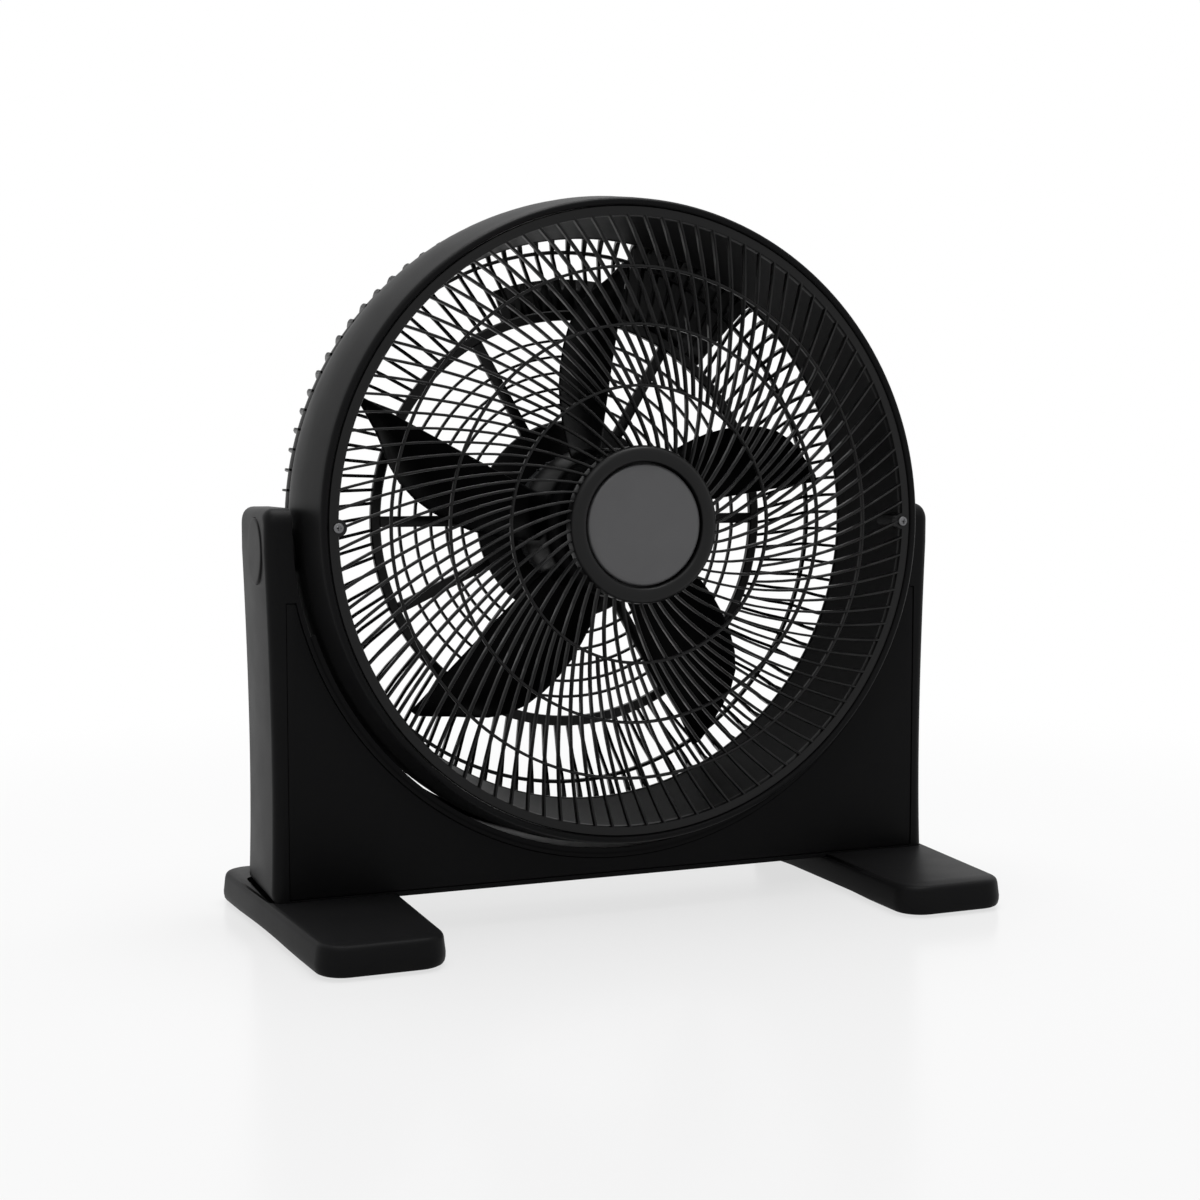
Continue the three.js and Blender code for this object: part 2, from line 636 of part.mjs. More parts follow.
function frontGrille() {
  const pitch = 360 / SPOKES;
  const pattern = new THREE.Shape(arc(0, 0, RIM_OUTER, 0, 360 - pitch, SPOKES - 1));
  const bounds = [HUB_RING_OUTER, ...GRILLE_RINGS, RIM_INNER];
  const slant = SPOKE_WIDTH * 1.1; // width of a leaning spoke, measured round the circle
  for (let zone = 0; zone + 1 < bounds.length; zone += 1) {
    const step = zone === 0 ? 2 : 1;
    const inner = bounds[zone] + (zone === 0 ? 0 : RING_WIDTH / 2);
    const outer = bounds[zone + 1] - (zone + 2 === bounds.length ? 0 : RING_WIDTH / 2);
    for (let i = 0; i < SPOKES; i += step) {
      pattern.holes.push(cell(inner, outer, i * pitch, step * pitch, spokeTurn, slant));
    }
  }
  const centreHole = new THREE.Path(arc(0, 0, HUB_RING_OUTER - 4.5, 0, 330, 11));
  pattern.holes.push(centreHole);
  const geometry = new THREE.ExtrudeGeometry(pattern, { depth: GRILLE_DEPTH, bevelEnabled: false });
  geometry.rotateX(Math.PI / 2).translate(0, GRILLE_BACK, 0);
  const place = geometry.attributes.position;
  for (let i = 0; i < place.count; i += 1) {
    const share = Math.hypot(place.getX(i), place.getZ(i)) / RIM_OUTER;
    place.setY(i, place.getY(i) - GRILLE_DOME * (1 - share * share));
  }
  const hubFront = GRILLE_BACK - GRILLE_DEPTH - GRILLE_DOME;
  const hubRing = turned([
    [HUB_RING_INNER, hubFront + 1],
    [HUB_RING_INNER + 4, hubFront - 3],
    [HUB_RING_OUTER - 5, hubFront - 2.5],
    [HUB_RING_OUTER - 1.5, hubFront + 2],
    [HUB_RING_OUTER - 1.5, hubFront + 7],
    [HUB_RING_INNER, hubFront + 9],
  ], 32);
  const badgeSeat = tube(8, HUB_RING_INNER + 2, hubFront + 6, hubFront + 8.6, 16);
  const lugs = SIDES.map(([, side]) =>
    rodY(6.5, side * GRILLE_SCREW_RADIUS, 0, GRILLE_BACK - GRILLE_DEPTH, GRILLE_BACK, 8),
  );
  const bores = SIDES.map(([, side]) =>
    rodY(2.4, side * GRILLE_SCREW_RADIUS, 0, GRILLE_BACK - GRILLE_DEPTH - 1, GRILLE_BACK + 1, 6),
  );
  return cut(joined([solid(geometry), hubRing, badgeSeat, ...lugs]), bores);
}

function badgeDisc() {
  const seat = GRILLE_BACK - GRILLE_DEPTH - GRILLE_DOME + 6 - GAP;
  return turned([
    [0, seat - 7],
    [HUB_RING_INNER - 8, seat - 7],
    [HUB_RING_INNER - 1.2, seat - 5],
    [HUB_RING_INNER - 1.2, seat],
    [0, seat],
  ], 36);
}

add('front_grille', frontGrille(), GRILLE_BLACK, head);
add('grille_badge', badgeDisc(), BADGE_GREY, head);
for (const [sideName, side] of SIDES) {
  const seat = GRILLE_BACK - GRILLE_DEPTH - 1.2;
  const body = screwY(side * GRILLE_SCREW_RADIUS, 0, seat, -8, 1.8, 3.8, 1.8);
  add(`grille_screw_${sideName}`, body, ZINC, head);
}

// ---------------------------------------------------------------- rear grille
// Angle, in degrees, that a rear spoke has turned at a radius
const rearTurn = (radius) => (REAR_LEAN * Math.min(radius, REAR_THIN_RING[1])) / REAR_THIN_RING[1];

// A plain sector between two angles and two radii, carried through the basket
function sector(inner, outer, from, to) {
  const steps = Math.ceil((to - from) / 10);
  const near = arc(0, 0, inner, from, to, steps);
  const far = arc(0, 0, outer, to, from, steps);
  return alongY(new THREE.Shape([...near.reverse(), ...far.reverse()]), REAR_HOOP_TOP, PLATE_REAR + 9);
}

function rearGrille() {
  const pitch = 360 / REAR_SPOKES;
  const section = [...REAR_INSIDE].reverse().concat([...REAR_OUTSIDE].reverse());
  const basket = turned(section, REAR_SPOKES).rotate([0, pitch / 2, 0]);
  const half = REAR_SPOKE_WIDTH / 2;
  const edge = (radius) => THREE.MathUtils.radToDeg(half / radius);
  const cells = [];
  const zones = [
    [REAR_THICK_RING[1], REAR_THIN_RING[0]],
    [REAR_THIN_RING[1], SHROUD_RADIUS + 4],
  ];
  for (const [inner, outer] of zones) {
    for (let i = 0; i < REAR_SPOKES; i += 1) {
      const outline = [
        polar(inner, i * pitch + rearTurn(inner) + edge(inner)),
        polar(outer, i * pitch + rearTurn(outer) + edge(outer)),
        polar(outer, (i + 1) * pitch + rearTurn(outer) - edge(outer)),
        polar(inner, (i + 1) * pitch + rearTurn(inner) - edge(inner)),
      ];
      cells.push(alongY(new THREE.Shape(outline), REAR_HOOP_TOP, PLATE_REAR + 9));
    }
  }
  const strut = 360 / REAR_STRUTS;
  const rows = REAR_FINE_RINGS.map((ring, i) => [
    ring + 2,
    i + 1 < REAR_FINE_RINGS.length ? REAR_FINE_RINGS[i + 1] - 1 : REAR_THICK_RING[0],
  ]);
  for (const [inner, outer] of rows) {
    for (let i = 0; i < REAR_STRUTS; i += 1) {
      const side = (radius) => THREE.MathUtils.radToDeg(REAR_STRUT_WIDTH / 2 / radius);
      const near = arc(0, 0, inner, (i + 1) * strut - side(inner), i * strut + side(inner), 3);
      const far = arc(0, 0, outer, i * strut + side(outer), (i + 1) * strut - side(outer), 3);
      cells.push(alongY(new THREE.Shape([...near, ...far]), PLATE_FRONT - 5, PLATE_REAR + 5));
    }
  }
  const panel = joined([
    sector(REAR_THICK_RING[1] - 2, SHROUD_RADIUS - 13, ...PANEL_ANGLES),
    sector(REAR_THICK_RING[1] - 2, PANEL_BAND_RADIUS, PANEL_ANGLES[1] - 1, PANEL_BAND_ANGLE),
  ]).intersect(basket);
  const rimDepth = REAR_INSIDE[1][1];
  const lugs = [];
  const bores = [rodY(14, 0, 0, 100, 120, 12)];
  for (const angle of REAR_SCREW_ANGLES) {
    const spot = polar(REAR_SCREW_RADIUS, angle);
    lugs.push(rodY(7, spot.x, spot.y, SHROUD_REAR + GAP, rimDepth + 2.5, 8));
    bores.push(rodY(2.4, spot.x, spot.y, SHROUD_REAR - 1, rimDepth + 8, 6));
    bores.push(rodY(4.8, spot.x, spot.y, rimDepth + 1.5, rimDepth + 60, 8));
  }
  for (const [, x, z] of MOTOR_SCREWS) bores.push(rodY(2.4, x, z, 100, 120, 6));
  for (const [, x] of COVER_FIXINGS) bores.push(rodY(2, x, 0, 100, 120, 6));
  return cut(joined([cut(basket, cells), panel, ...lugs]), bores);
}

const MOTOR_SCREW_RADIUS = 40;
const MOTOR_SCREWS = ['upper_right', 'upper_left', 'lower_left', 'lower_right'].map((place, i) => {
  const spot = polar(MOTOR_SCREW_RADIUS, 45 + 90 * i);
  return [place, spot.x, spot.y];
});
const COVER_FIXINGS = [
  ['left', -62],
  ['right', 62],
];
const PLATE_REAR = REAR_OUTSIDE[0][1];
const PLATE_FRONT = PLATE_REAR - REAR_THICKNESS;

add('rear_grille', rearGrille(), GRILLE_BLACK, head);
REAR_SCREW_ANGLES.forEach((angle, i) => {
  const spot = polar(REAR_SCREW_RADIUS, angle);
  const body = screwY(spot.x, spot.y, REAR_INSIDE[1][1] + 1.5 + GAP, 42, 1.8, 3.8, 2);
  add(`rear_grille_screw_${i + 1}`, body, ZINC, head);
});

// ---------------------------------------------------------------- motor
const BELL_WALL = 3;
const STATOR_FRONT = 66;
const STATOR_REAR = 87;
const BORE_RADIUS = 27;

function bell(closedAt, openAt) {
  const inward = Math.sign(openAt - closedAt);
  const ringFrom = closedAt + inward * 8;
  const cup = turned([
    [SHAFT_RADIUS + 4, Math.min(closedAt, closedAt + inward * 8)],
    [MOTOR_RADIUS - 8, Math.min(closedAt, closedAt + inward * 8)],
    [MOTOR_RADIUS, closedAt + inward * (inward > 0 ? 4 : 8)],
    [MOTOR_RADIUS, closedAt + inward * (inward > 0 ? 8 : 4)],
    [MOTOR_RADIUS - 8, Math.max(closedAt, closedAt + inward * 8)],
    [SHAFT_RADIUS + 4, Math.max(closedAt, closedAt + inward * 8)],
  ], 20);
  const [from, to] = [Math.min(ringFrom - inward * 2, openAt), Math.max(ringFrom - inward * 2, openAt)];
  return cup.add(tube(MOTOR_RADIUS - BELL_WALL, MOTOR_RADIUS, from, to, 20));
}

add('motor_front_bell', bell(MOTOR_FRONT, STATOR_FRONT - GAP), ZINC, head);
const rearBell = cut(bell(PLATE_FRONT - GAP, STATOR_REAR + GAP), MOTOR_SCREWS.map(([, x, z]) =>
  rodY(2.2, x, z, PLATE_FRONT - 7, PLATE_FRONT + 1, 10)));
add('motor_rear_bell', rearBell, ZINC, head);
add('motor_stator', tube(BORE_RADIUS, MOTOR_RADIUS, STATOR_FRONT, STATOR_REAR, 20), LAMINATION, head);
const WINDING_DEPTH = 5;
add('winding_front', tube(30, 46, STATOR_FRONT - GAP - WINDING_DEPTH, STATOR_FRONT - GAP, 20), COPPER, head);
add('winding_rear', tube(30, 46, STATOR_REAR + GAP, STATOR_REAR + GAP + WINDING_DEPTH, 20), COPPER, head);
const BEARING_INNER = SHAFT_RADIUS + GAP;
const BEARING_OUTER = SHAFT_RADIUS + 4 - GAP;
add('bearing_front', tube(BEARING_INNER, BEARING_OUTER, MOTOR_FRONT, MOTOR_FRONT + 8, 12), BRASS, head);
add('bearing_rear', tube(BEARING_INNER, BEARING_OUTER, PLATE_FRONT - GAP - 8, PLATE_FRONT - GAP, 12), BRASS, head);
for (const [place, x, z] of MOTOR_SCREWS) {
  add(`motor_screw_${place}`, screwY(x, z, PLATE_REAR + GAP, PLATE_FRONT - 5, 1.8, 3.8, 2), ZINC, head);
}

// ---------------------------------------------------------------- motor cover and controls
const SWITCH_RADIUS = 13;
const SWITCH_REAR = 121;
const STEM_RADIUS = 4;
const GLAND_DEPTH = 118.5;

function motorCover() {
  const wall = 2.5;
  const shell = turned([
    [8, MOTOR_COVER_REAR - wall],
    [MOTOR_COVER_RADIUS - 8, MOTOR_COVER_REAR - wall],
    [MOTOR_COVER_RADIUS - wall - 2, MOTOR_COVER_REAR - wall - 4],
    [MOTOR_COVER_RADIUS - wall, PLATE_REAR + GAP],
    [MOTOR_COVER_RADIUS, PLATE_REAR + GAP],
    [MOTOR_COVER_RADIUS - 2, MOTOR_COVER_REAR - 5],
    [MOTOR_COVER_RADIUS - 7, MOTOR_COVER_REAR],
    [8, MOTOR_COVER_REAR],
  ], 26);
  const posts = COVER_FIXINGS.map(([, x]) => rodY(4.5, x, 0, PLATE_REAR + GAP, MOTOR_COVER_REAR - 1, 8));
  const bores = COVER_FIXINGS.flatMap(([, x]) => [
    rodY(2.2, x, 0, PLATE_REAR - 1, MOTOR_COVER_REAR + 1, 6),
    rodY(4.2, x, 0, MOTOR_COVER_REAR - 3, MOTOR_COVER_REAR + 1, 8),
  ]);
  bores.push(rodZ(4.3, 0, GLAND_DEPTH, -MOTOR_COVER_RADIUS - 2, -60, 16));
  return cut(joined([shell, ...posts]), bores);
}

function cordGland() {
  const body = joined([
    rodZ(4, 0, GLAND_DEPTH, -MOTOR_COVER_RADIUS - 11, -64, 16),
    rodZ(5.5, 0, GLAND_DEPTH, -MOTOR_COVER_RADIUS - 5, -MOTOR_COVER_RADIUS - GAP, 16),
  ]);
  return cut(body, [rodZ(2.6, 0, GLAND_DEPTH, -MOTOR_COVER_RADIUS - 12, -63, 12)]);
}

function speedKnob() {
  const front = MOTOR_COVER_REAR + GAP;
  const disc = turned([
    [0, front],
    [KNOB_RADIUS, front],
    [KNOB_RADIUS, front + 3],
    [KNOB_RADIUS - 3, front + 5],
    [0, front + 5],
  ], 24);
  const grip = block(-4, 4, front + 4, KNOB_REAR, -KNOB_RADIUS + 3, KNOB_RADIUS - 3);
  const stem = rodY(STEM_RADIUS, 0, 0, PLATE_REAR + 3, front + 1, 16);
  return joined([disc, grip, stem]);
}

add('motor_cover', motorCover(), SATIN_BLACK, head);
for (const [sideName, x] of COVER_FIXINGS) {
  const body = screwY(x, 0, MOTOR_COVER_REAR - 3 + GAP, PLATE_FRONT + 1, 1.6, 3.6, 2);
  add(`motor_cover_screw_${sideName}`, body, ZINC, head);
}
add('speed_switch', tube(STEM_RADIUS + GAP, SWITCH_RADIUS, PLATE_REAR + 1, SWITCH_REAR, 24), NYLON, head);
add('capacitor', block(24, 44, PLATE_REAR + 1, PLATE_REAR + 10, -16, 16), NYLON, head);
add('cord_gland', cordGland(), RUBBER, head);
add('speed_knob', speedKnob(), BADGE_GREY, head);

// ---------------------------------------------------------------- blades and rotor
// One paddle, root to tip: [radius, degrees from its rear edge to its front edge,
// depth of the rear edge, depth of the front edge]
const BLADE_SECTIONS = [
  [56, 42, 65, 27.5],
  [85, 36, 68, 29],
  [115, 30.5, 69.5, 30],
  [147, 24, 70, 31.5],
  [175, 17, 70, 35],
  [194, 9, 70, 44],
  [206, 4.5, 70, 55],
  [217, 1.6, 70, 66],
];
const BLADE_THICKNESS = 2.4;
const BLADE_CAMBER = 0.07;

function bladeRing([radius, turn, rear, front], phase) {
  const across = [0, 0.45, 1];
  const around = radius * radians(turn);
  const chord = Math.hypot(around, rear - front);
  const normal = new THREE.Vector2(rear - front, around).divideScalar(chord);
  const place = (share, offset) => {
    const rise = 4 * BLADE_CAMBER * chord * share * (1 - share) + offset;
    const angle = radians(phase) + (around * share + rise * normal.x) / radius;
    const depth = rear + (front - rear) * share + rise * normal.y;
    return new THREE.Vector3(radius * Math.cos(angle), depth, radius * Math.sin(angle));
  };
  const back = across.map((share) => place(share, BLADE_THICKNESS / 2));
  const face = across.map((share) => place(share, -BLADE_THICKNESS / 2)).reverse();
  return [...back, ...face];
}

const PIN_DEPTH = HUB_FRONT + 26;

function fanBlades() {
  const hub = turned([
    [5.5, HUB_FRONT],
    [HUB_RADIUS - 12, HUB_FRONT],
    [HUB_RADIUS, HUB_FRONT + 8],
    [HUB_RADIUS, HUB_REAR],
    [HUB_RADIUS - HUB_WALL, HUB_REAR],
    [HUB_RADIUS - HUB_WALL, HUB_FRONT + 9],
    [HUB_RADIUS - 13, HUB_FRONT + 3.5],
    [5.5, HUB_FRONT + 3.5],
  ], 24);
  const boss = tube(SHAFT_RADIUS + GAP, 11, HUB_FRONT + 1, HUB_FRONT + 32, 15);
  const ribs = Array.from({ length: HUB_RIBS }, (_, i) =>
    block(9, HUB_RADIUS - 1.5, HUB_FRONT + 2, HUB_FRONT + 22, -1.1, 1.1)
      .rotate([0, (360 / HUB_RIBS) * i + 15, 0]),
  );
  const core = rodY(HUB_RADIUS - 1.5, 0, 0, -60, 90, 30);
  const paddles = Array.from({ length: BLADES }, (_, i) => {
    const phase = BLADE_PHASE + (360 / BLADES) * i;
    return skinned(BLADE_SECTIONS.map((section) => bladeRing(section, phase))).subtract(core);
  });
  const pinSlot = rodX(1.9, PIN_DEPTH, 0, -14, 14, 12);
  return cut(joined([hub, boss, ...ribs, ...paddles]), [pinSlot]);
}

add('fan_blades', fanBlades(), BLADE_BLACK, head);
const shaft = cut(rodY(SHAFT_RADIUS, 0, 0, HUB_FRONT - 8, PLATE_FRONT - 2, 20), [
  rodX(1.6 + GAP, PIN_DEPTH, 0, -5, 5, 12),
]);
add('motor_shaft', shaft, STEEL, head);
add('rotor_core', tube(SHAFT_RADIUS + GAP, BORE_RADIUS - 0.7, STATOR_FRONT, STATOR_REAR, 20), LAMINATION, head);
add('drive_pin', rodX(1.6, PIN_DEPTH, 0, -10, 10, 10), STEEL, head);
const NUT_REAR = HUB_FRONT - GAP;
const nut = turned([
  [SHAFT_RADIUS + GAP, NUT_REAR - 8],
  [9, NUT_REAR - 8],
  [12, NUT_REAR - 5],
  [12, NUT_REAR],
  [SHAFT_RADIUS + GAP, NUT_REAR],
], 16);
add('blade_nut', nut, NYLON, head);

export default fan;
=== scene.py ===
"""Looks of a floor air circulator fan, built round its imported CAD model.

Every size is in metres in the model's own frame: origin on the floor under the middle of
the fan, +X to the right of someone facing it, front towards -Y, +Z up.
"""
import json
import math

import bmesh
import bpy
from bpy.props import FloatProperty, FloatVectorProperty, IntProperty, PointerProperty
from mathutils import Matrix, Vector


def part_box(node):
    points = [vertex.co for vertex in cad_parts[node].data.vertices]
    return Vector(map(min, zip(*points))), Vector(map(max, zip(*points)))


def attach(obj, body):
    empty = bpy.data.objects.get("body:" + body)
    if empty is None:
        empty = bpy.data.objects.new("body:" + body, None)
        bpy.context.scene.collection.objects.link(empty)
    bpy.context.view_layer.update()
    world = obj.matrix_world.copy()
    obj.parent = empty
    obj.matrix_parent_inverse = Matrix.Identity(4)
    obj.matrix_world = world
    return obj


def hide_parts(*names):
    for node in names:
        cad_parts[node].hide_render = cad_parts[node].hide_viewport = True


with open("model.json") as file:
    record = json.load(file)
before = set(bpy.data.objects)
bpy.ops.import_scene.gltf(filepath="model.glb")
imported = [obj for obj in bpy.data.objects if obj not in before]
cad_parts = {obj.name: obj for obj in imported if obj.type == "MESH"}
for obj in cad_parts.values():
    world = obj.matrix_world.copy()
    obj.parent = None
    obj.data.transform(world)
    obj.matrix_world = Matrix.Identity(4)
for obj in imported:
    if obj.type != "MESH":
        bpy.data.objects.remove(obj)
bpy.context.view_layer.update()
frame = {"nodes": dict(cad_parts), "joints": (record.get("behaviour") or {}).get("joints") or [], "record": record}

bl_info = {
    "name": "Air Circulator Fan",
    "version": (1, 0, 0),
    "blender": (4, 5, 0),
    "location": "View3D > Sidebar > Fan",
    "description": "Builds the detailed looks of a floor air circulator fan",
    "category": "Add Mesh",
}

MM = 0.001
FULL_TURN = 2 * math.pi
AXIS_Y = Vector((0, 1, 0))
ROUND_STEPS = 192  # steps of a large smooth circle
HEAD_AXIS = frame["joints"][1]["pos_m"][2] if len(frame["joints"]) > 1 else 0.307
SIDES = (("left", -1), ("right", 1))


# ------------------------------------------------------------------ sizes and colours
def length(name, description, default):
    return FloatProperty(name=name, description=description, default=default, unit="LENGTH")


def mm(*sizes):
    """Sizes given in millimetres."""
    return tuple(size * MM for size in sizes)


def colour(name, description, default):
    return FloatVectorProperty(
        name=name, description=description, default=default, subtype="COLOR", min=0, max=1
    )


class FanHeadSizes(bpy.types.PropertyGroup):
    """Sizes of the round head"""

    opening_radius: length("Opening Radius", "Radius of the shroud's front opening", 0.2458)
    lip_radius: length("Lip Radius", "Outer radius of the shroud's front lip", 0.2515)
    shroud_radius: length("Shroud Radius", "Largest outer radius of the shroud", 0.259)
    shroud_front: length("Shroud Front", "Depth of the shroud's front lip", -0.038)
    shroud_rear: length("Shroud Rear", "Depth of the shroud's rear edge", 0.058)
    hub_ring_outer: length("Hub Ring", "Outer radius of the ring round the badge", 0.0615)
    hub_ring_inner: length("Hub Opening", "Inner radius of the ring round the badge", 0.0485)
    spoke_width: length("Spoke Width", "Width of a front spoke", 0.0019)
    spokes: IntProperty(name="Front Spokes", description="Spokes at the front rim", default=102)
    rear_spokes: IntProperty(name="Rear Spokes", description="Fins of the rear guard", default=100)
    blades: IntProperty(name="Blades", description="Paddles on the rotor", default=5)
    blade_radius: length("Blade Radius", "Radius at the tips of the paddles", 0.217)
    duct_radius: length("Duct Radius", "Inner radius of the air duct's rear end", 0.2317)


class FanStandSizes(bpy.types.PropertyGroup):
    """Sizes of the stand and its feet"""

    front: length("Front", "Depth of the stand's front face", -0.004)
    rear: length("Rear", "Depth of the stand's rear face", 0.096)
    bottom: length("Bottom", "Height of the panel's lower edge", 0.0225)
    top: length("Top", "Height of the arms", 0.321)
    half_width: length("Half Width", "Half of the width over the pivots", 0.285)
    foot_half_width: length("Lower Half Width", "Half of the width at the feet", 0.283)
    waist: length("Waist", "Control width that draws the sides in", 0.2785)
    cutout_radius: length("Cutout Radius", "Radius of the round cutout", 0.265)
    arm_top_radius: length("Arm Rounding", "Rounding at the top of an arm", 0.024)
    corner: length("Corner", "Rounding of the upright corners", 0.015)
    pivot_height: length("Pivot Height", "Height of the tilt axis", 0.288)
    pivot_depth: length("Pivot Depth", "Depth of the tilt axis", 0.036)


class FanColours(bpy.types.PropertyGroup):
    """Colours of the finishes"""

    body: colour("Body Plastic", "Satin plastic of the stand and shroud", (0.0095, 0.0095, 0.0099))
    guard: colour("Guard Plastic", "Plastic of the two guards", (0.0042, 0.0042, 0.0044))
    blade: colour("Blade Plastic", "Plastic of the paddles", (0.0030, 0.0030, 0.0033))
    badge: colour("Badge Plastic", "Plastic of the hub badge and dial", (0.1, 0.1, 0.103))
    floor: colour("Floor", "Studio floor", (0.86, 0.86, 0.865))


# ------------------------------------------------------------------ material maths
class Value:
    """One output socket of a finish; arithmetic on it adds Math nodes."""

    def __init__(self, finish, socket):
        self.finish = finish
        self.socket = socket

    def combined(self, operation, first, second):
        return self.finish.node("ShaderNodeMath", {"operation": operation}, {0: first, 1: second})

    def __add__(self, other):
        return self.combined("ADD", self, other)

    def __radd__(self, other):
        return self.combined("ADD", other, self)

    def __sub__(self, other):
        return self.combined("SUBTRACT", self, other)

    def __rsub__(self, other):
        return self.combined("SUBTRACT", other, self)

    def __mul__(self, other):
        return self.combined("MULTIPLY", self, other)

    def __rmul__(self, other):
        return self.combined("MULTIPLY", other, self)


class Finish:
    """The nodes of a material, or of the world, in the making."""

    def __init__(self, name, world=False):
        owners = bpy.data.worlds if world else bpy.data.materials
        self.owner = owners.new(name)
        self.owner.use_nodes = True
        self.tree = self.owner.node_tree
        self.shader = self.tree.nodes["Background" if world else "Principled BSDF"]

    def node(self, kind, settings=None, inputs=None, output=0):
        made = self.tree.nodes.new(kind)
        for name, setting in (settings or {}).items():
            setattr(made, name, setting)
        for name, value in (inputs or {}).items():
            self.feed(made.inputs[name], value)
        return Value(self, made.outputs[output])

    def feed(self, socket, value):
        if isinstance(value, Value):
            self.tree.links.new(value.socket, socket)
        else:
            socket.default_value = value

    def place(self):
        return self.node("ShaderNodeTexCoord", output="Object")

    def noise(self, scale, detail=2.0, stretch=None):
        """Smooth noise about 0.5, with so many waves to a metre."""
        where = self.place()
        if stretch:
            where = self.node("ShaderNodeMapping", None, {"Vector": where, "Scale": stretch})
        made = {"Vector": where, "Scale": scale, "Detail": detail}
        return self.node("ShaderNodeTexNoise", None, made, "Fac")

    def mixed(self, share, first, second):
        """A colour between two, by a share from 0 to 1."""
        return self.node(
            "ShaderNodeMix",
            {"data_type": "RGBA"},
            {0: share, 6: (*first, 1.0), 7: (*second, 1.0)},
            2,
        )

    def bump(self, height, strength, distance):
        return self.node(
            "ShaderNodeBump", None, {"Strength": strength, "Distance": distance, "Height": height}
        )

    def surface(self, **inputs):
        for name, value in inputs.items():
            self.feed(self.shader.inputs[name.replace("_", " ")], value)
        return self.owner

    def seen(self):
        """1 for what the camera, a mirror or glass sees, and 0 for the light that things get."""
        camera = self.node("ShaderNodeLightPath", output="Is Camera Ray")
        glossy = self.node("ShaderNodeLightPath", output="Is Glossy Ray")
        through = self.node("ShaderNodeLightPath", output="Is Transmission Ray")
        return through.combined("MAXIMUM", camera.combined("MAXIMUM", camera, glossy), through)


def scaled(tint, factor):
    return tuple(min(1.0, channel * factor) for channel in tint)


FINISHES = {}


def moulded_plastic(name, tint, roughness, grain, depth, gloss=0.045):
    """Injection-moulded plastic with a fine spark-eroded grain and faint uneven sheen."""
    finish = Finish(name)
    cloud = finish.noise(38.0, 3.0)
    pores = finish.noise(grain, 2.0)
    base = finish.mixed(cloud, scaled(tint, 0.88), scaled(tint, 1.14))
    sheen = roughness + (cloud - 0.5) * 0.09 + (pores - 0.5) * 0.1
    relief = finish.bump(pores, 0.5, depth)
    finish.shader.inputs["Specular IOR Level"].default_value = gloss
    return finish.surface(Base_Color=base, Roughness=sheen, Normal=relief, Metallic=0.0)


def plated_metal(name, tint, roughness):
    """Bright plated steel or turned metal with faint tool marks."""
    finish = Finish(name)
    marks = finish.noise(900.0, 2.0, (1.0, 6.0, 1.0))
    cloud = finish.noise(60.0)
    base = finish.mixed(cloud, scaled(tint, 0.8), scaled(tint, 1.08))
    relief = finish.bump(marks, 0.25, 0.00004)
    sheen = roughness + (marks - 0.5) * 0.16
    return finish.surface(Base_Color=base, Roughness=sheen, Normal=relief, Metallic=1.0)


def stacked_steel(name):
    """The edge of a stack of thin steel sheets."""
    finish = Finish(name)
    across = finish.node("ShaderNodeSeparateXYZ", None, {0: finish.place()}, "Y")
    sheets = finish.node("ShaderNodeMath", {"operation": "PINGPONG"}, {0: across, 1: 0.0005})
    line = sheets * 2000.0
    base = finish.mixed(line, (0.02, 0.02, 0.021), (0.07, 0.07, 0.072))
    relief = finish.bump(line, 0.6, 0.0001)
    return finish.surface(Base_Color=base, Roughness=0.45, Normal=relief, Metallic=1.0)


def copper_wire(name):
    """Enamelled copper wire, wound round the motor's axis."""
    finish = Finish(name)
    strands = finish.node("ShaderNodeSeparateXYZ", None, {0: finish.place()}, "Y")
    turns = finish.node("ShaderNodeMath", {"operation": "PINGPONG"}, {0: strands, 1: 0.0004})
    tone = finish.noise(220.0)
    base = finish.mixed(tone, (0.06, 0.014, 0.005), (0.13, 0.037, 0.014))
    relief = finish.bump(turns * 2500.0, 0.6, 0.0002)
    return finish.surface(Base_Color=base, Roughness=0.32, Normal=relief, Metallic=1.0)


def soft_rubber(name):
    """Matt black rubber with a dusty, slightly pitted skin."""
    finish = Finish(name)
    dust = finish.noise(70.0, 4.0)
    pits = finish.noise(1500.0)
    base = finish.mixed(dust, (0.009, 0.009, 0.009), (0.022, 0.022, 0.021))
    relief = finish.bump(pits, 0.5, 0.00012)
    return finish.surface(Base_Color=base, Roughness=0.86, Normal=relief, Metallic=0.0)


def make_finishes(colours):
    FINISHES.update(
        satin_black_plastic=moulded_plastic(
            "satin_body_plastic", colours.body, 0.42, 1500.0, 0.00006
        ),
        grille_black_plastic=moulded_plastic(
            "guard_plastic", colours.guard, 0.36, 1900.0, 0.00003, 0.2
        ),
        blade_black_plastic=moulded_plastic(
            "paddle_plastic", colours.blade, 0.3, 1200.0, 0.00002
        ),
        badge_grey_plastic=moulded_plastic(
            "badge_plastic", colours.badge, 0.36, 2600.0, 0.000015, 0.5
        ),
        nylon=moulded_plastic("nylon", (0.045, 0.045, 0.046), 0.55, 900.0, 0.00003),
        foot_rubber=soft_rubber("foot_rubber"),
        steel=plated_metal("turned_steel", (0.52, 0.53, 0.54), 0.3),
        zinc_plated_steel=plated_metal("zinc_plate", (0.17, 0.17, 0.175), 0.5),
        die_cast_aluminium=plated_metal("cast_aluminium", (0.11, 0.113, 0.116), 0.6),
        brass=plated_metal("turned_brass", (0.5, 0.33, 0.1), 0.34),
        copper_winding=copper_wire("copper_winding"),
        steel_lamination=stacked_steel("steel_lamination"),
    )


# ------------------------------------------------------------------ mesh helpers
def head_point(radius, angle, depth):
    """A point round the fan's axis; the angle runs from +X towards +Z."""
    return Vector((radius * math.cos(angle), depth, HEAD_AXIS + radius * math.sin(angle)))


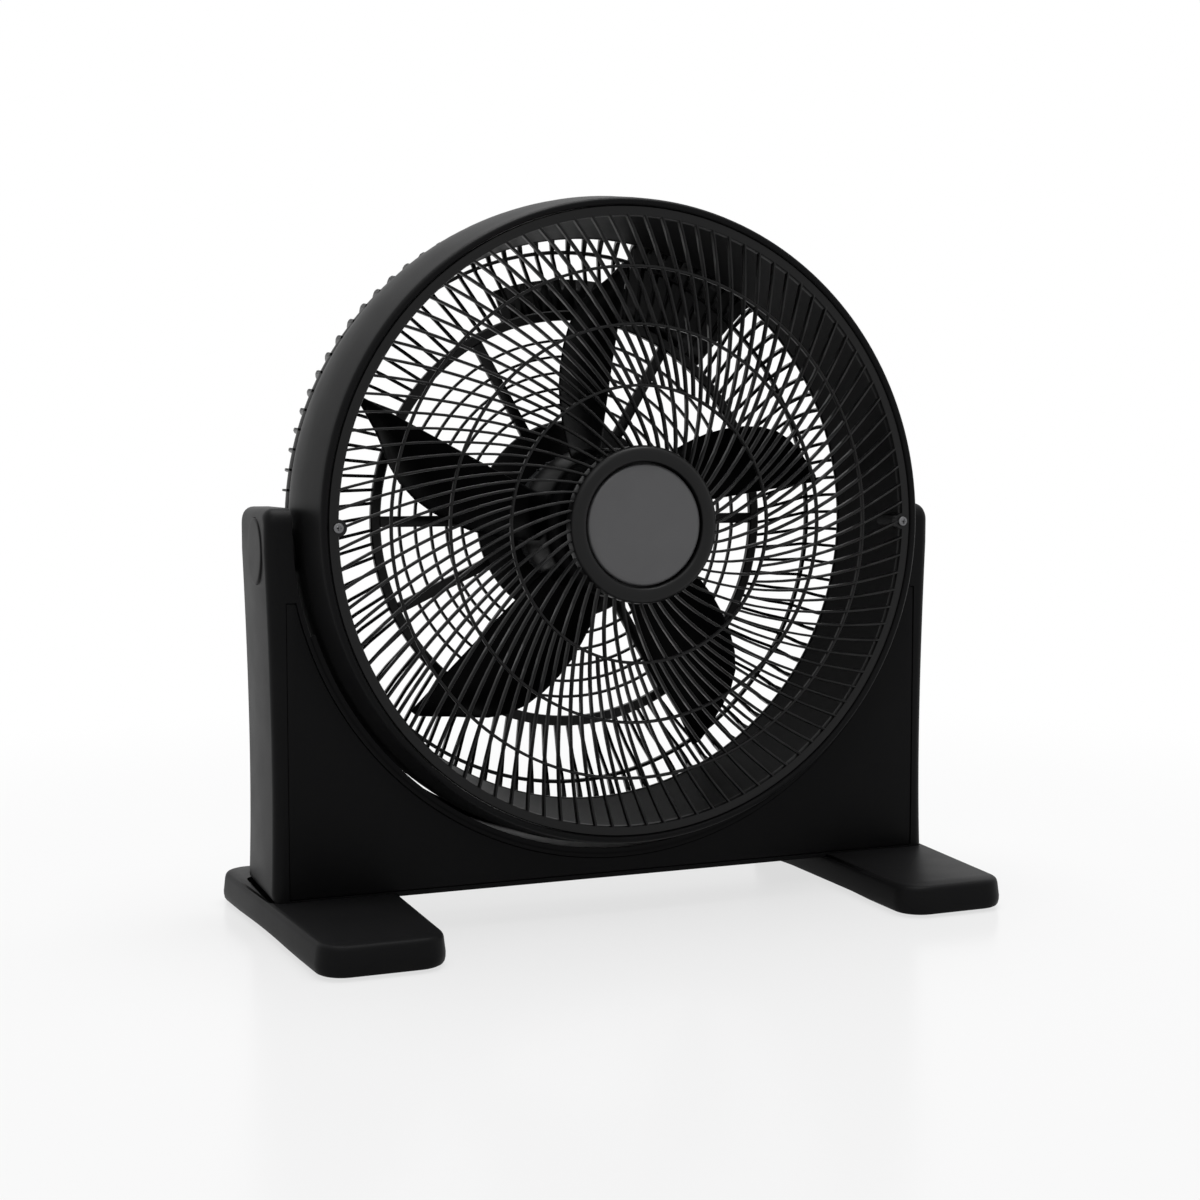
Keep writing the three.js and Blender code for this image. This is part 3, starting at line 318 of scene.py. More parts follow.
def revolve(bm, section, steps=ROUND_STEPS, closed=True, centre=(0, 0)):
    """Turns [radius, depth] pairs round an axis along Y at the centre (x, height over axis)."""
    x, up = centre
    verts = [bm.verts.new((x + radius, depth, HEAD_AXIS + up)) for radius, depth in section]
    pairs = list(zip(verts, verts[1:]))
    if closed:
        pairs.append((verts[-1], verts[0]))
    edges = [bm.edges.new(pair) for pair in pairs]
    bmesh.ops.spin(
        bm,
        geom=verts + edges,
        cent=(x, 0, HEAD_AXIS + up),
        axis=AXIS_Y,
        angle=FULL_TURN,
        steps=steps,
        use_merge=True,
    )
    bmesh.ops.remove_doubles(bm, verts=bm.verts, dist=1e-6)


def sweep(bm, stations):
    """A solid whose section passes through stations, each a list of as many points."""
    face = bm.faces.new([bm.verts.new(point) for point in stations[0]])
    made = {face}
    for points in stations[1:]:
        grown = bmesh.ops.extrude_face_region(bm, geom=[face])["geom"]
        face = next(item for item in grown if isinstance(item, bmesh.types.BMFace))
        for vert, point in zip(face.verts, points):
            vert.co = point
    return made


def repeat_round(bm, geometry, count):
    """Copies geometry round the fan's axis until there are so many of it."""
    bmesh.ops.spin(
        bm,
        geom=geometry,
        cent=(0, 0, HEAD_AXIS),
        axis=AXIS_Y,
        angle=FULL_TURN * (count - 1) / count,
        steps=count - 1,
        use_duplicate=True,
    )


def turn_round(bm, verts, degrees):
    """Turns verts round the fan's axis, from +X towards +Z."""
    bmesh.ops.rotate(
        bm, verts=verts, cent=(0, 0, HEAD_AXIS),
        matrix=Matrix.Rotation(-math.radians(degrees), 3, "Y"),
    )


def everything(bm):
    return list(bm.verts) + list(bm.edges) + list(bm.faces)


def box(bm, low, high):
    """A block between two corners; returns its verts."""
    low, high = Vector(low), Vector(high)
    made = bmesh.ops.create_cube(bm, size=1.0)["verts"]
    bmesh.ops.scale(bm, verts=made, vec=high - low)
    bmesh.ops.translate(bm, verts=made, vec=(low + high) / 2)
    return made


def cylinder(bm, radius, start, end, segments=32, radius_end=None):
    """A rod or cone between two points; returns its verts."""
    start, end = Vector(start), Vector(end)
    along = end - start
    turn = along.to_track_quat("Z", "Y").to_matrix().to_4x4()
    made = bmesh.ops.create_cone(
        bm,
        cap_ends=True,
        segments=segments,
        radius1=radius,
        radius2=radius if radius_end is None else radius_end,
        depth=along.length,
        matrix=Matrix.Translation((start + end) / 2) @ turn,
    )
    return made["verts"]


def bevel(bm, edges, offset, segments=3):
    bmesh.ops.bevel(
        bm,
        geom=list(edges),
        offset=offset,
        affect="EDGES",
        offset_type="OFFSET",
        segments=segments,
        profile=0.5,
        material=-1,
        clamp_overlap=True,
    )


def edges_of(verts):
    return {edge for vert in verts for edge in vert.link_edges}


def finished(bm, name, body, slot, *nodes, sharp=32.0):
    """Closes a mesh off as a piece that rides on a body and stands for CAD nodes."""
    bmesh.ops.recalc_face_normals(bm, faces=bm.faces)
    for face in bm.faces:
        face.smooth = True
    for edge in bm.edges:
        edge.smooth = edge.calc_face_angle(0.0) < math.radians(sharp)
    mesh = bpy.data.meshes.new(name)
    bm.to_mesh(mesh)
    bm.free()
    piece = bpy.data.objects.new(name, mesh)
    bpy.context.scene.collection.objects.link(piece)
    mesh.materials.append(FINISHES[slot])
    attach(piece, body)
    if nodes:
        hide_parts(*nodes)
    return piece


# ------------------------------------------------------------------ shroud
SHROUD_WALL = 3 * MM
DUCT_WALL = 2.2 * MM
PIVOT_BLOCK_INNER = 241 * MM
PIVOT_BLOCK_FRONT = 16 * MM
PIVOT_BLOCK_REAR = 50 * MM
PIVOT_SEAT = 260.5 * MM  # outer face of the boss that a stand arm is clamped to
PIVOT_SEAT_RADIUS = 17 * MM
SCREW_POST_RADIUS = 5.5 * MM
GRILLE_SCREW_PLACE = 238 * MM  # distance of a front guard screw from the fan's axis
REAR_SCREW_PLACE = 247.5 * MM
REAR_SCREW_ANGLES = (42, 138, 222, 318)


def build_shroud(head, stand):
    """The double-walled ring with its air duct, pivot blocks and screw posts."""
    bm = bmesh.new()
    front, rear = head.shroud_front, head.shroud_rear
    opening, lip, widest = head.opening_radius, head.lip_radius, head.shroud_radius
    revolve(bm, [
        (opening, front + 9 * MM),
        (opening, front + 2.2 * MM),
        (opening + 0.6 * MM, front + 0.9 * MM),
        (opening + 1.6 * MM, front + 0.2 * MM),
        (opening + 2.8 * MM, front),
        (lip - 1.6 * MM, front + 0.5 * MM),
        (lip - 0.6 * MM, front + 1.6 * MM),
        (lip, front + 3.6 * MM),
        (lip + 0.7 * MM, front + 8 * MM),
        (lip + 2.4 * MM, front + 17 * MM),
        (widest - 3.2 * MM, front + 29 * MM),
        (widest - 1.3 * MM, front + 41 * MM),
        (widest - 0.3 * MM, front + 54 * MM),
        (widest, front + 64 * MM),
        (widest - 0.2 * MM, front + 73 * MM),
        (widest - 1.4 * MM, front + 82 * MM),
        (widest - 3.6 * MM, rear - 6 * MM),
        (lip + 1.5 * MM, rear - 1.5 * MM),
        (lip + 0.2 * MM, rear),
        (lip - SHROUD_WALL + 0.5 * MM, rear),
        (widest - SHROUD_WALL - 2.5 * MM, rear - 14 * MM),
        (widest - SHROUD_WALL - 0.2 * MM, rear - 24 * MM),
        (widest - SHROUD_WALL - 1.5 * MM, front + 44 * MM),
        (lip - 0.8 * MM, front + 18 * MM),
        (opening + 1 * MM, front + 18 * MM),
        (head.duct_radius + DUCT_WALL, rear),
        (head.duct_radius + 0.4 * MM, rear),
        (head.duct_radius, rear - 0.5 * MM),
    ])
    pivot_z, pivot_y = stand.pivot_height, stand.pivot_depth
    for _, side in SIDES:
        near = side * PIVOT_BLOCK_INNER
        far = side * (widest - 3 * MM)
        low = (min(near, far), PIVOT_BLOCK_FRONT, pivot_z - PIVOT_SEAT_RADIUS)
        high = (max(near, far), PIVOT_BLOCK_REAR, HEAD_AXIS + 9 * MM)
        verts = box(bm, low, high)
        bevel(bm, edges_of(verts), 1.6 * MM, 2)
        boss = cylinder(
            bm, PIVOT_SEAT_RADIUS, (side * (widest - 8 * MM), pivot_y, pivot_z),
            (side * PIVOT_SEAT, pivot_y, pivot_z), 48,
        )
        rim = [edge for edge in edges_of(boss) if all(
            abs(vert.co.x) > PIVOT_SEAT - 0.1 * MM for vert in edge.verts)]
        bevel(bm, rim, 0.8 * MM, 2)
        x = side * GRILLE_SCREW_PLACE
        cylinder(bm, SCREW_POST_RADIUS, (x, -30.7 * MM, HEAD_AXIS), (x, -5 * MM, HEAD_AXIS), 24)
    for degrees in REAR_SCREW_ANGLES:
        spot = head_point(REAR_SCREW_PLACE, math.radians(degrees), 0)
        cylinder(bm, SCREW_POST_RADIUS, (spot.x, 34 * MM, spot.z), (spot.x, rear, spot.z), 24)
    return finished(bm, "head_shroud", "head", "satin_black_plastic", "shroud_ring")


# ------------------------------------------------------------------ front guard
GUARD_BACK = -31 * MM
GUARD_DEPTH = 5 * MM
GUARD_DOME = 13 * MM
RIM_RADIUS = 245 * MM
SPIRAL = math.radians(23.7)  # turn of a spoke for each e-fold of radius
GUARD_RINGS = mm(107.5, 154.5, 199)


def guard_front(radius):
    """Depth of the front guard's face at a radius."""
    share = radius / RIM_RADIUS
    return GUARD_BACK - GUARD_DEPTH - GUARD_DOME * (1 - share * share)


def spiral_spoke(bm, inner, outer, width, hub):
    """One thin bar along the spiral, with a rounded front edge."""
    lean = math.atan(SPIRAL)
    steps = max(5, round((outer - inner) / (12 * MM)))
    stations = []
    for i in range(steps + 1):
        radius = inner + (outer - inner) * i / steps
        angle = SPIRAL * math.log(radius / hub)
        middle = head_point(radius, angle, guard_front(radius))
        across = Vector((-math.sin(angle + lean), 0, math.cos(angle + lean)))
        section = (
            (-0.5, 1.0), (0.5, 1.0), (0.5, 0.2), (0.36, 0.06), (0.12, 0.0), (-0.12, 0.0),
            (-0.36, 0.06), (-0.5, 0.2),
        )
        stations.append([
            middle + across * (share * width) + AXIS_Y * (deep * GUARD_DEPTH)
            for share, deep in section
        ])
    sweep(bm, stations)


def build_front_spokes(head):
    bm = bmesh.new()
    hub = head.hub_ring_outer
    long_start = hub - 3 * MM
    spiral_spoke(bm, long_start, RIM_RADIUS - 5 * MM, head.spoke_width, hub)
    short = bmesh.new()
    spiral_spoke(short, GUARD_RINGS[0], RIM_RADIUS - 5 * MM, head.spoke_width, hub)
    turn_round(short, short.verts, 360 / head.spokes)
    append(bm, short)
    repeat_round(bm, everything(bm), head.spokes // 2)
    return finished(bm, "front_guard_spokes", "head", "grille_black_plastic", "front_grille")


def build_front_rings(head):
    bm = bmesh.new()
    for radius in GUARD_RINGS:
        face = guard_front(radius) - 0.25 * MM
        half = 1.15 * MM
        revolve(bm, [
            (radius - half, face + 3.2 * MM),
            (radius - half, face + 0.9 * MM),
            (radius - 0.55 * half, face + 0.15 * MM),
            (radius, face),
            (radius + 0.55 * half, face + 0.15 * MM),
            (radius + half, face + 0.9 * MM),
            (radius + half, face + 3.2 * MM),
        ])
    rim_inner, rim_front = 237.5 * MM, GUARD_BACK - GUARD_DEPTH
    revolve(bm, [
        (rim_inner, GUARD_BACK),
        (rim_inner, rim_front + 0.6 * MM),
        (rim_inner + 0.6 * MM, rim_front - 0.4 * MM),
        (rim_inner + 2 * MM, rim_front - 0.5 * MM),
        (RIM_RADIUS - 0.4 * MM, rim_front + 0.1 * MM),
        (RIM_RADIUS + 0.4 * MM, rim_front + 0.8 * MM),
        (RIM_RADIUS + 0.4 * MM, GUARD_BACK),
    ])
    hub_front = guard_front(0)
    inner, outer = head.hub_ring_inner, head.hub_ring_outer
    revolve(bm, [
        (inner, hub_front + 9 * MM),
        (inner, hub_front + 0.2 * MM),
        (inner + 0.8 * MM, hub_front - 1.6 * MM),
        (inner + 2.2 * MM, hub_front - 2.6 * MM),
        (inner + 4.5 * MM, hub_front - 3.1 * MM),
        (outer - 4.5 * MM, hub_front - 2.9 * MM),
        (outer - 2.2 * MM, hub_front - 1.9 * MM),
        (outer - 0.7 * MM, hub_front - 0.2 * MM),
        (outer, hub_front + 2 * MM),
        (outer, hub_front + 9 * MM),
    ])
    revolve(bm, [
        (7 * MM, hub_front + 8.6 * MM),
        (7 * MM, hub_front + 6 * MM),
        (inner + 1 * MM, hub_front + 6 * MM),
        (inner + 1 * MM, hub_front + 8.6 * MM),
    ], 64)
    for _, side in SIDES:
        x = side * GRILLE_SCREW_PLACE
        spot = (x, rim_front - 0.4 * MM, HEAD_AXIS)
        cylinder(bm, 6.5 * MM, spot, (x, GUARD_BACK, HEAD_AXIS), 32)
    return finished(bm, "front_guard_rings", "head", "grille_black_plastic", "front_grille")


def build_badge(head):
    """The bare hub disc, with a soft edge and a shallow groove near its rim."""
    bm = bmesh.new()
    seat = guard_front(0) + 5.7 * MM
    rim = head.hub_ring_inner - 1.3 * MM
    revolve(bm, [
        (0, seat),
        (rim, seat),
        (rim, seat - 4.6 * MM),
        (rim - 0.5 * MM, seat - 5.7 * MM),
        (rim - 1.6 * MM, seat - 6.5 * MM),
        (rim - 4 * MM, seat - 7.1 * MM),
        (rim * 0.75, seat - 7.9 * MM),
        (rim * 0.5, seat - 8.6 * MM),
        (rim * 0.25, seat - 9.0 * MM),
        (0, seat - 9.15 * MM),
    ], closed=False)
    return finished(bm, "hub_badge", "head", "badge_grey_plastic", "grille_badge")


# ------------------------------------------------------------------ rear guard
REAR_PATH = [
    (84, 111), (120, 111), (172, 111), (203, 111), (222, 109.4), (237, 107.6), (244, 105.6),
    (248, 102.8), (250.2, 99), (252.9, 90.5), (256, 79), (257.4, 72), (257.6, 67), (256.4, 61),
]
FIN_START = 2  # the point of the path where the fins begin
FIN_HALF_WIDTH = 1.35 * MM
FIN_DEPTH = 4.5 * MM
FIN_RIM_DEPTH = 8.5 * MM  # outside the thin ring
FIN_END = 60 * MM
REAR_LEAN = math.radians(12)
THICK_RING = 172.7 * MM
THIN_RING = 225 * MM
FINE_RINGS = (98, 111.5, 125, 138.5, 152)
STRUT_ANGLES = (0, 60, 120, 180, 205, 240, 300)
PLATE_ANGLES = (48.5, 76, 110)  # the plain panel, and the band that runs on from it
PANEL_SCREWS = ((246, 70), (100, 44))  # width and height of the screws behind the panel
DIAL_STOPS = (90, 45, 0, -45)


def rear_path():
    """The guard's section as [point, outward normal]."""
    points = [Vector((radius * MM, depth * MM)) for radius, depth in REAR_PATH]
    stations = []
    for i, point in enumerate(points):
        before, after = points[max(i - 1, 0)], points[min(i + 1, len(points) - 1)]
        along = (after - before).normalized()
        stations.append((point, Vector((-along.y, along.x))))
    return stations


def build_rear_spokes(head):
    """The leaning fins, which run from the thick ring out and forward over the shroud's rear edge."""
    bm = bmesh.new()
    stations = []
    for point, normal in rear_path()[FIN_START:]:
        angle = REAR_LEAN * min(point.x, THIN_RING) / THIN_RING
        inner = point - normal * (FIN_DEPTH if point.x < THIN_RING else FIN_RIM_DEPTH)
        inner.y = max(inner.y, FIN_END)
        section = ((point, -0.6), (point, 0.6), (inner, 1.0), (inner, -1.0))
        corners = []
        for spot, share in section:
            turn = angle + share * FIN_HALF_WIDTH / spot.x
            corners.append(head_point(spot.x, turn, spot.y))
        stations.append(corners)
    sweep(bm, stations)
    repeat_round(bm, everything(bm), head.rear_spokes)
    return finished(bm, "rear_guard_fins", "head", "grille_black_plastic", "rear_grille")


def build_rear_plate():
    """The plain panel between two groups of the rear guard's fins."""
    bm = bmesh.new()
    near = [(172, 110.4), (190, 110.4), (203, 110.4)]
    far = [(222, 108.8), (237, 107), (244, 105), (246.5, 101)]
    start, middle, end = (math.radians(degrees) for degrees in PLATE_ANGLES)
    for low, high, path in ((start, middle, near + far), (middle, end, near)):
        steps = round(math.degrees(high - low) / 1.5)
        front = [(radius, depth - 2.4) for radius, depth in reversed(path)]
        sweep(bm, [
            [
                head_point(radius * MM, low + (high - low) * i / steps, depth * MM)
                for radius, depth in path + front
            ]
            for i in range(steps + 1)
        ])
    return finished(bm, "rear_guard_plate", "head", "grille_black_plastic", "rear_grille")


def hoop(bm, radius, depth, width, thickness, steps=ROUND_STEPS):
    """A ring of rounded rectangular section."""
    a, b = width / 2, thickness / 2
    nip = min(a, b) * 0.35
    revolve(bm, [
        (radius - a, depth + b - nip), (radius - a, depth - b + nip), (radius - a + nip, depth - b),
        (radius + a - nip, depth - b), (radius + a, depth - b + nip), (radius + a, depth + b - nip),
        (radius + a - nip, depth + b), (radius - a + nip, depth + b),
    ], steps)


def build_rear_rings():
    """The motor plate, the hoops round it, the struts, and the flange with its screw lugs."""
    bm = bmesh.new()
    plate_rear, plate_front = 111 * MM, 107.5 * MM
    hoop(bm, THICK_RING, 107.6 * MM, 8.4 * MM, 6.4 * MM)
    hoop(bm, THIN_RING, 105.4 * MM, 3 * MM, 4.4 * MM)
    hoop(bm, 249.4 * MM, 83 * MM, 3 * MM, 4 * MM)
    revolve(bm, [
        mm(231.6, 58.6), mm(231, 59.4), mm(231, 60.8), mm(231.6, 61.5),
        mm(246.6, 63), mm(247.6, 66.8), mm(255.6, 66.8), mm(255.6, 63),
        mm(254.4, 60.2), mm(251, 58.6),
    ])
    for radius in FINE_RINGS:
        hoop(bm, radius * MM, 108.6 * MM, 2.2 * MM, 3.6 * MM, 144)
    revolve(bm, [
        (14 * MM, plate_rear), (14 * MM, plate_front), (83.5 * MM, plate_front),
        (84.6 * MM, plate_front + 1 * MM), (84.6 * MM, plate_rear - 0.6 * MM), (84 * MM, plate_rear),
    ], 144)
    for degrees in STRUT_ANGLES:
        verts = box(
            bm, (82 * MM, plate_front - 2 * MM, HEAD_AXIS - 4.5 * MM),
            (169 * MM, plate_rear - 0.2 * MM, HEAD_AXIS + 4.5 * MM),
        )
        turn_round(bm, verts, degrees)
        bevel(bm, edges_of(verts), 0.8 * MM, 2)
    for degrees in REAR_SCREW_ANGLES:
        spot = head_point(REAR_SCREW_PLACE, math.radians(degrees), 0)
        cylinder(bm, 6.6 * MM, (spot.x, 58.3 * MM, spot.z), (spot.x, 62.8 * MM, spot.z), 32)
    return finished(bm, "rear_guard_rings", "head", "grille_black_plastic", "rear_grille")


# ------------------------------------------------------------------ blades and motor
# radius, degrees from the rear edge round to the front edge, and the depths of both edges
PADDLE = (
    (57, 41.5, 65, 27.5), (62, 40.5, 65.6, 27.8), (72, 38.5, 66.8, 28.4), (85, 36, 68, 29),
    (100, 33.2, 68.9, 29.5), (115, 30.5, 69.5, 30), (131, 27.3, 69.9, 30.6), (147, 24, 70, 31.5),
    (162, 20.6, 70, 32.9), (175, 17, 70, 35), (185, 13.2, 70, 38.6), (194, 9, 70, 44),
    (200, 6.5, 70, 49.4), (206, 4.6, 70, 55), (211, 3.1, 70, 60.2), (214.6, 2.1, 70, 64.4),
    (216.6, 1.5, 70, 67),
)
PADDLE_TIP = 217 * MM  # the tip that the stations above are made for
PADDLE_PHASE = 8.5
PADDLE_THICKNESS = 2.6 * MM
PADDLE_CAMBER = 0.07
HUB_FRONT = 6 * MM
HUB_REAR = 66 * MM


def paddle_station(radius, turn, rear, front):
    """The closed section of a paddle at one radius."""
    radius, rear, front = radius * MM, rear * MM, front * MM
    around = radius * math.radians(turn)
    chord = math.hypot(around, rear - front)
    normal = Vector((rear - front, around)) / chord
    shares = [0, 0.012, 0.05, 0.14, 0.3, 0.5, 0.7, 0.86, 0.95, 0.988, 1]
    points = []
    for face in (1, -1):
        for share in shares if face > 0 else reversed(shares[1:-1]):
            plump = math.sqrt(max(0.0, 1 - abs(2 * share - 1) ** 5))
            rise = 4 * PADDLE_CAMBER * chord * share * (1 - share)
            rise += face * plump * PADDLE_THICKNESS / 2
            angle = math.radians(PADDLE_PHASE) + (around * share + rise * normal.x) / radius
            points.append(head_point(radius, angle, rear + (front - rear) * share + rise * normal.y))
    return points


def build_blades(head):
    bm = bmesh.new()
    reach = head.blade_radius / PADDLE_TIP
    sweep(bm, [
        paddle_station(radius * reach, turn, rear, front) for radius, turn, rear, front in PADDLE
    ])
    repeat_round(bm, everything(bm), head.blades)
    revolve(bm, [
        (5.5 * MM, HUB_FRONT), (44 * MM, HUB_FRONT), (49.5 * MM, HUB_FRONT + 0.6 * MM),
        (54.5 * MM, HUB_FRONT + 2.4 * MM), (58.4 * MM, HUB_FRONT + 5.6 * MM),
        (60 * MM, HUB_FRONT + 10 * MM), (60 * MM, HUB_REAR), (57 * MM, HUB_REAR),
        (57 * MM, HUB_FRONT + 10 * MM), (49 * MM, HUB_FRONT + 4 * MM), (5.5 * MM, HUB_FRONT + 4 * MM),
    ], 128)
    revolve(bm, [
        (4.3 * MM, HUB_FRONT + 1 * MM), (11 * MM, HUB_FRONT + 1 * MM),
        (11 * MM, HUB_FRONT + 32 * MM), (4.3 * MM, HUB_FRONT + 32 * MM),
    ], 64)
    return finished(bm, "rotor_paddles", "rotor", "blade_black_plastic", "fan_blades")


def build_motor():
    """Cast bells with cooling ribs, and the stack of steel sheets between them."""
    radius, boss = 55 * MM, 8 * MM
    for name, node, closed_at, open_at in (
        ("motor_bell_front", "motor_front_bell", 50 * MM, 65.7 * MM),
        ("motor_bell_rear", "motor_rear_bell", 107.2 * MM, 87.3 * MM),
    ):
        bm = bmesh.new()
        way = math.copysign(1, open_at - closed_at)
        revolve(bm, [
            (boss, closed_at), (36 * MM, closed_at), (44 * MM, closed_at + way * 0.8 * MM),
            (50 * MM, closed_at + way * 3 * MM), (53.6 * MM, closed_at + way * 6.4 * MM),
            (radius, closed_at + way * 10.5 * MM), (radius, open_at), (52 * MM, open_at),
            (52 * MM, closed_at + way * 11 * MM), (46 * MM, closed_at + way * 8 * MM),
            (boss, closed_at + way * 8 * MM),
        ], 128)
        ribs = bmesh.new()
        low, high = sorted((closed_at + way * 11 * MM, open_at - way * 0.6 * MM))
        verts = box(
            ribs, (radius - 1 * MM, low, HEAD_AXIS - 0.9 * MM),
            (radius + 1.1 * MM, high, HEAD_AXIS + 0.9 * MM),
        )
        bevel(ribs, edges_of(verts), 0.4 * MM, 1)
        repeat_round(ribs, everything(ribs), 36)
        append(bm, ribs)
        finished(bm, name, "head", "die_cast_aluminium", node)
    bm = bmesh.new()
    revolve(bm, [
        mm(27, 66), mm(54.6, 66), (radius, 66.4 * MM), (radius, 86.6 * MM),
        mm(54.6, 87), mm(27, 87),
    ], 128)
    return finished(bm, "motor_stack", "head", "steel_lamination", "motor_stator")


# ------------------------------------------------------------------ rear cover and dial
COVER_REAR = 126 * MM
COVER_RADIUS = 74 * MM


def build_rear_cover():
    bm = bmesh.new()
    seat = 111.3 * MM
    revolve(bm, [
        (8 * MM, COVER_REAR - 2.5 * MM), (66 * MM, COVER_REAR - 2.5 * MM),
        (69.5 * MM, COVER_REAR - 6 * MM), (71.5 * MM, seat), (COVER_RADIUS, seat),
        (COVER_RADIUS - 0.4 * MM, COVER_REAR - 9 * MM),
        (COVER_RADIUS - 1.4 * MM, COVER_REAR - 5 * MM),
        (COVER_RADIUS - 3.2 * MM, COVER_REAR - 2.2 * MM),
        (COVER_RADIUS - 5.6 * MM, COVER_REAR - 0.5 * MM),
        (COVER_RADIUS - 8.4 * MM, COVER_REAR), (27.5 * MM, COVER_REAR),
        (26.9 * MM, COVER_REAR - 0.5 * MM), (26 * MM, COVER_REAR - 0.7 * MM),
        (25 * MM, COVER_REAR - 0.7 * MM), (24.2 * MM, COVER_REAR - 0.4 * MM),
        (23.6 * MM, COVER_REAR), (8 * MM, COVER_REAR),
    ], 144)
    ribs = bmesh.new()
    verts = box(
        ribs, (34 * MM, COVER_REAR - 1 * MM, HEAD_AXIS - 0.9 * MM),
        (52 * MM, COVER_REAR + 0.7 * MM, HEAD_AXIS + 0.9 * MM),
    )
    bevel(ribs, edges_of(verts), 0.5 * MM, 2)
    repeat_round(ribs, everything(ribs), 48)
    append(bm, ribs)
    for degrees in DIAL_STOPS:
        verts = box(
            bm, (21.4 * MM, COVER_REAR - 0.5 * MM, HEAD_AXIS - 0.5 * MM),
            (23 * MM, COVER_REAR + 0.4 * MM, HEAD_AXIS + 0.5 * MM),
        )
        turn_round(bm, verts, degrees)
    for _, side in SIDES:
        x = side * 62 * MM
        cylinder(bm, 4.5 * MM, (x, seat, HEAD_AXIS), (x, COVER_REAR - 2.6 * MM, HEAD_AXIS), 24)
    return finished(bm, "rear_cover", "head", "satin_black_plastic", "motor_cover")


def build_dial():
    bm = bmesh.new()
    front = COVER_REAR + 0.3 * MM
    rim = 19 * MM
    revolve(bm, [
        (0, front), (rim - 0.3 * MM, front), (rim, front + 0.5 * MM), (rim - 0.5 * MM, front + 3 * MM),
        (rim - 1.4 * MM, front + 4.2 * MM), (rim - 3 * MM, front + 4.9 * MM), (0, front + 5 * MM),
    ], 96, closed=False)
    verts = box(
        bm, (-4 * MM, front + 4 * MM, HEAD_AXIS - 16 * MM), (4 * MM, 138.6 * MM, HEAD_AXIS + 16 * MM)
    )
    bevel(bm, edges_of(verts), 1.8 * MM, 4)
    verts = box(
        bm, (-0.6 * MM, 138.2 * MM, HEAD_AXIS + 7 * MM), (0.6 * MM, 138.9 * MM, HEAD_AXIS + 14.4 * MM)
    )
    bevel(bm, edges_of(verts), 0.25 * MM, 1)
    grips = bmesh.new()
    cylinder(
        grips, 0.55 * MM, (rim - 0.5 * MM, front + 0.5 * MM, HEAD_AXIS),
        (rim - 0.9 * MM, front + 3.6 * MM, HEAD_AXIS), 8,
    )
    repeat_round(grips, everything(grips), 60)
    append(bm, grips)
    cylinder(bm, 4 * MM, (0, 114 * MM, HEAD_AXIS), (0, front + 1 * MM, HEAD_AXIS), 24)
    return finished(bm, "speed_dial", "knob", "badge_grey_plastic", "speed_knob")


def build_cord_inlet():
    """A ribbed rubber gland under the rear cover, where a mains cord would leave."""
    bm = bmesh.new()
    depth = 118.5 * MM
    top, bottom = HEAD_AXIS - 64 * MM, HEAD_AXIS - 85 * MM
    cylinder(bm, 4 * MM, (0, depth, bottom + 0.8 * MM), (0, depth, top), 32)
    for drop, radius, height in ((74.3, 5.5, 4.7), (80.4, 4.7, 1.5), (83.2, 4.4, 1.5)):
        z = HEAD_AXIS - drop * MM
        verts = cylinder(bm, radius * MM, (0, depth, z - height * MM), (0, depth, z), 32)
        bevel(bm, [e for e in edges_of(verts) if abs(e.verts[0].co.z - e.verts[1].co.z) < 1e-5],
              0.4 * MM, 2)
    return finished(bm, "cord_inlet", "head", "foot_rubber", "cord_gland")


# ------------------------------------------------------------------ stand
STAND_WALL = 3.5 * MM
PANEL_HALF_WIDTH = 270.5 * MM
PANEL_TOP = 250.5 * MM
PANEL_THICKNESS = 3 * MM
WAIST_HEIGHT = 120 * MM
# radius of each step of a pivot's bore, and the widths between which it runs
PIVOT_BORES = ((25.8, 283, 290), (17.8, 250, 264), (8.5, 276, 290), (4.6, 250, 290))
FRONT_LIP = (-18, 3.8 * MM, 4 * MM)  # where the lip starts in degrees, its reach and thickness
REAR_LIP = (-30, 5.5 * MM, 8 * MM)


def stand_side(stand, steps=24):
    """The right-hand side of the stand, bottom to top, as [width, height]."""
    points = []
    for i in range(steps + 1):
        t = i / steps
        weights = ((1 - t) ** 2, 2 * t * (1 - t), t * t)
        widths = (stand.foot_half_width, stand.waist, stand.half_width)
        heights = (stand.bottom, WAIST_HEIGHT, stand.pivot_height)
        points.append((
            sum(w * v for w, v in zip(weights, widths)),
            sum(w * v for w, v in zip(weights, heights)),
        ))
    return points


def prism(bm, outline, start, end):
    """Extrudes an outline of (x, z) points along Y; returns its verts."""
    face = bm.faces.new([bm.verts.new((x, start, z)) for x, z in outline])
    first = list(face.verts)
    grown = bmesh.ops.extrude_face_region(bm, geom=[face])["geom"]
    fresh = [item for item in grown if isinstance(item, bmesh.types.BMVert)]
    bmesh.ops.translate(bm, verts=fresh, vec=(0, end - start, 0))
    return first + fresh


def arc_points(radius, start, end, steps):
    """Points (x, z) of an arc round the fan's axis, in degrees from +X towards +Z."""
    points = []
    for i in range(steps + 1):
        angle = math.radians(start + (end - start) * i / steps)
        points.append((radius * math.cos(angle), HEAD_AXIS + radius * math.sin(angle)))
    return points


def panel_outline(stand, clearance):
    """The opening in the stand's front, or the panel that closes it."""
    radius = stand.cutout_radius + STAND_WALL + clearance
    width = PANEL_HALF_WIDTH - clearance
    top = PANEL_TOP - clearance
    bottom = stand.bottom + STAND_WALL + clearance
    start = -math.degrees(math.asin((HEAD_AXIS - top) / radius))
    arc = arc_points(radius, start, -180 - start, 96)
    return [(-width, bottom), (width, bottom), (width, top), *arc, (-width, top)]


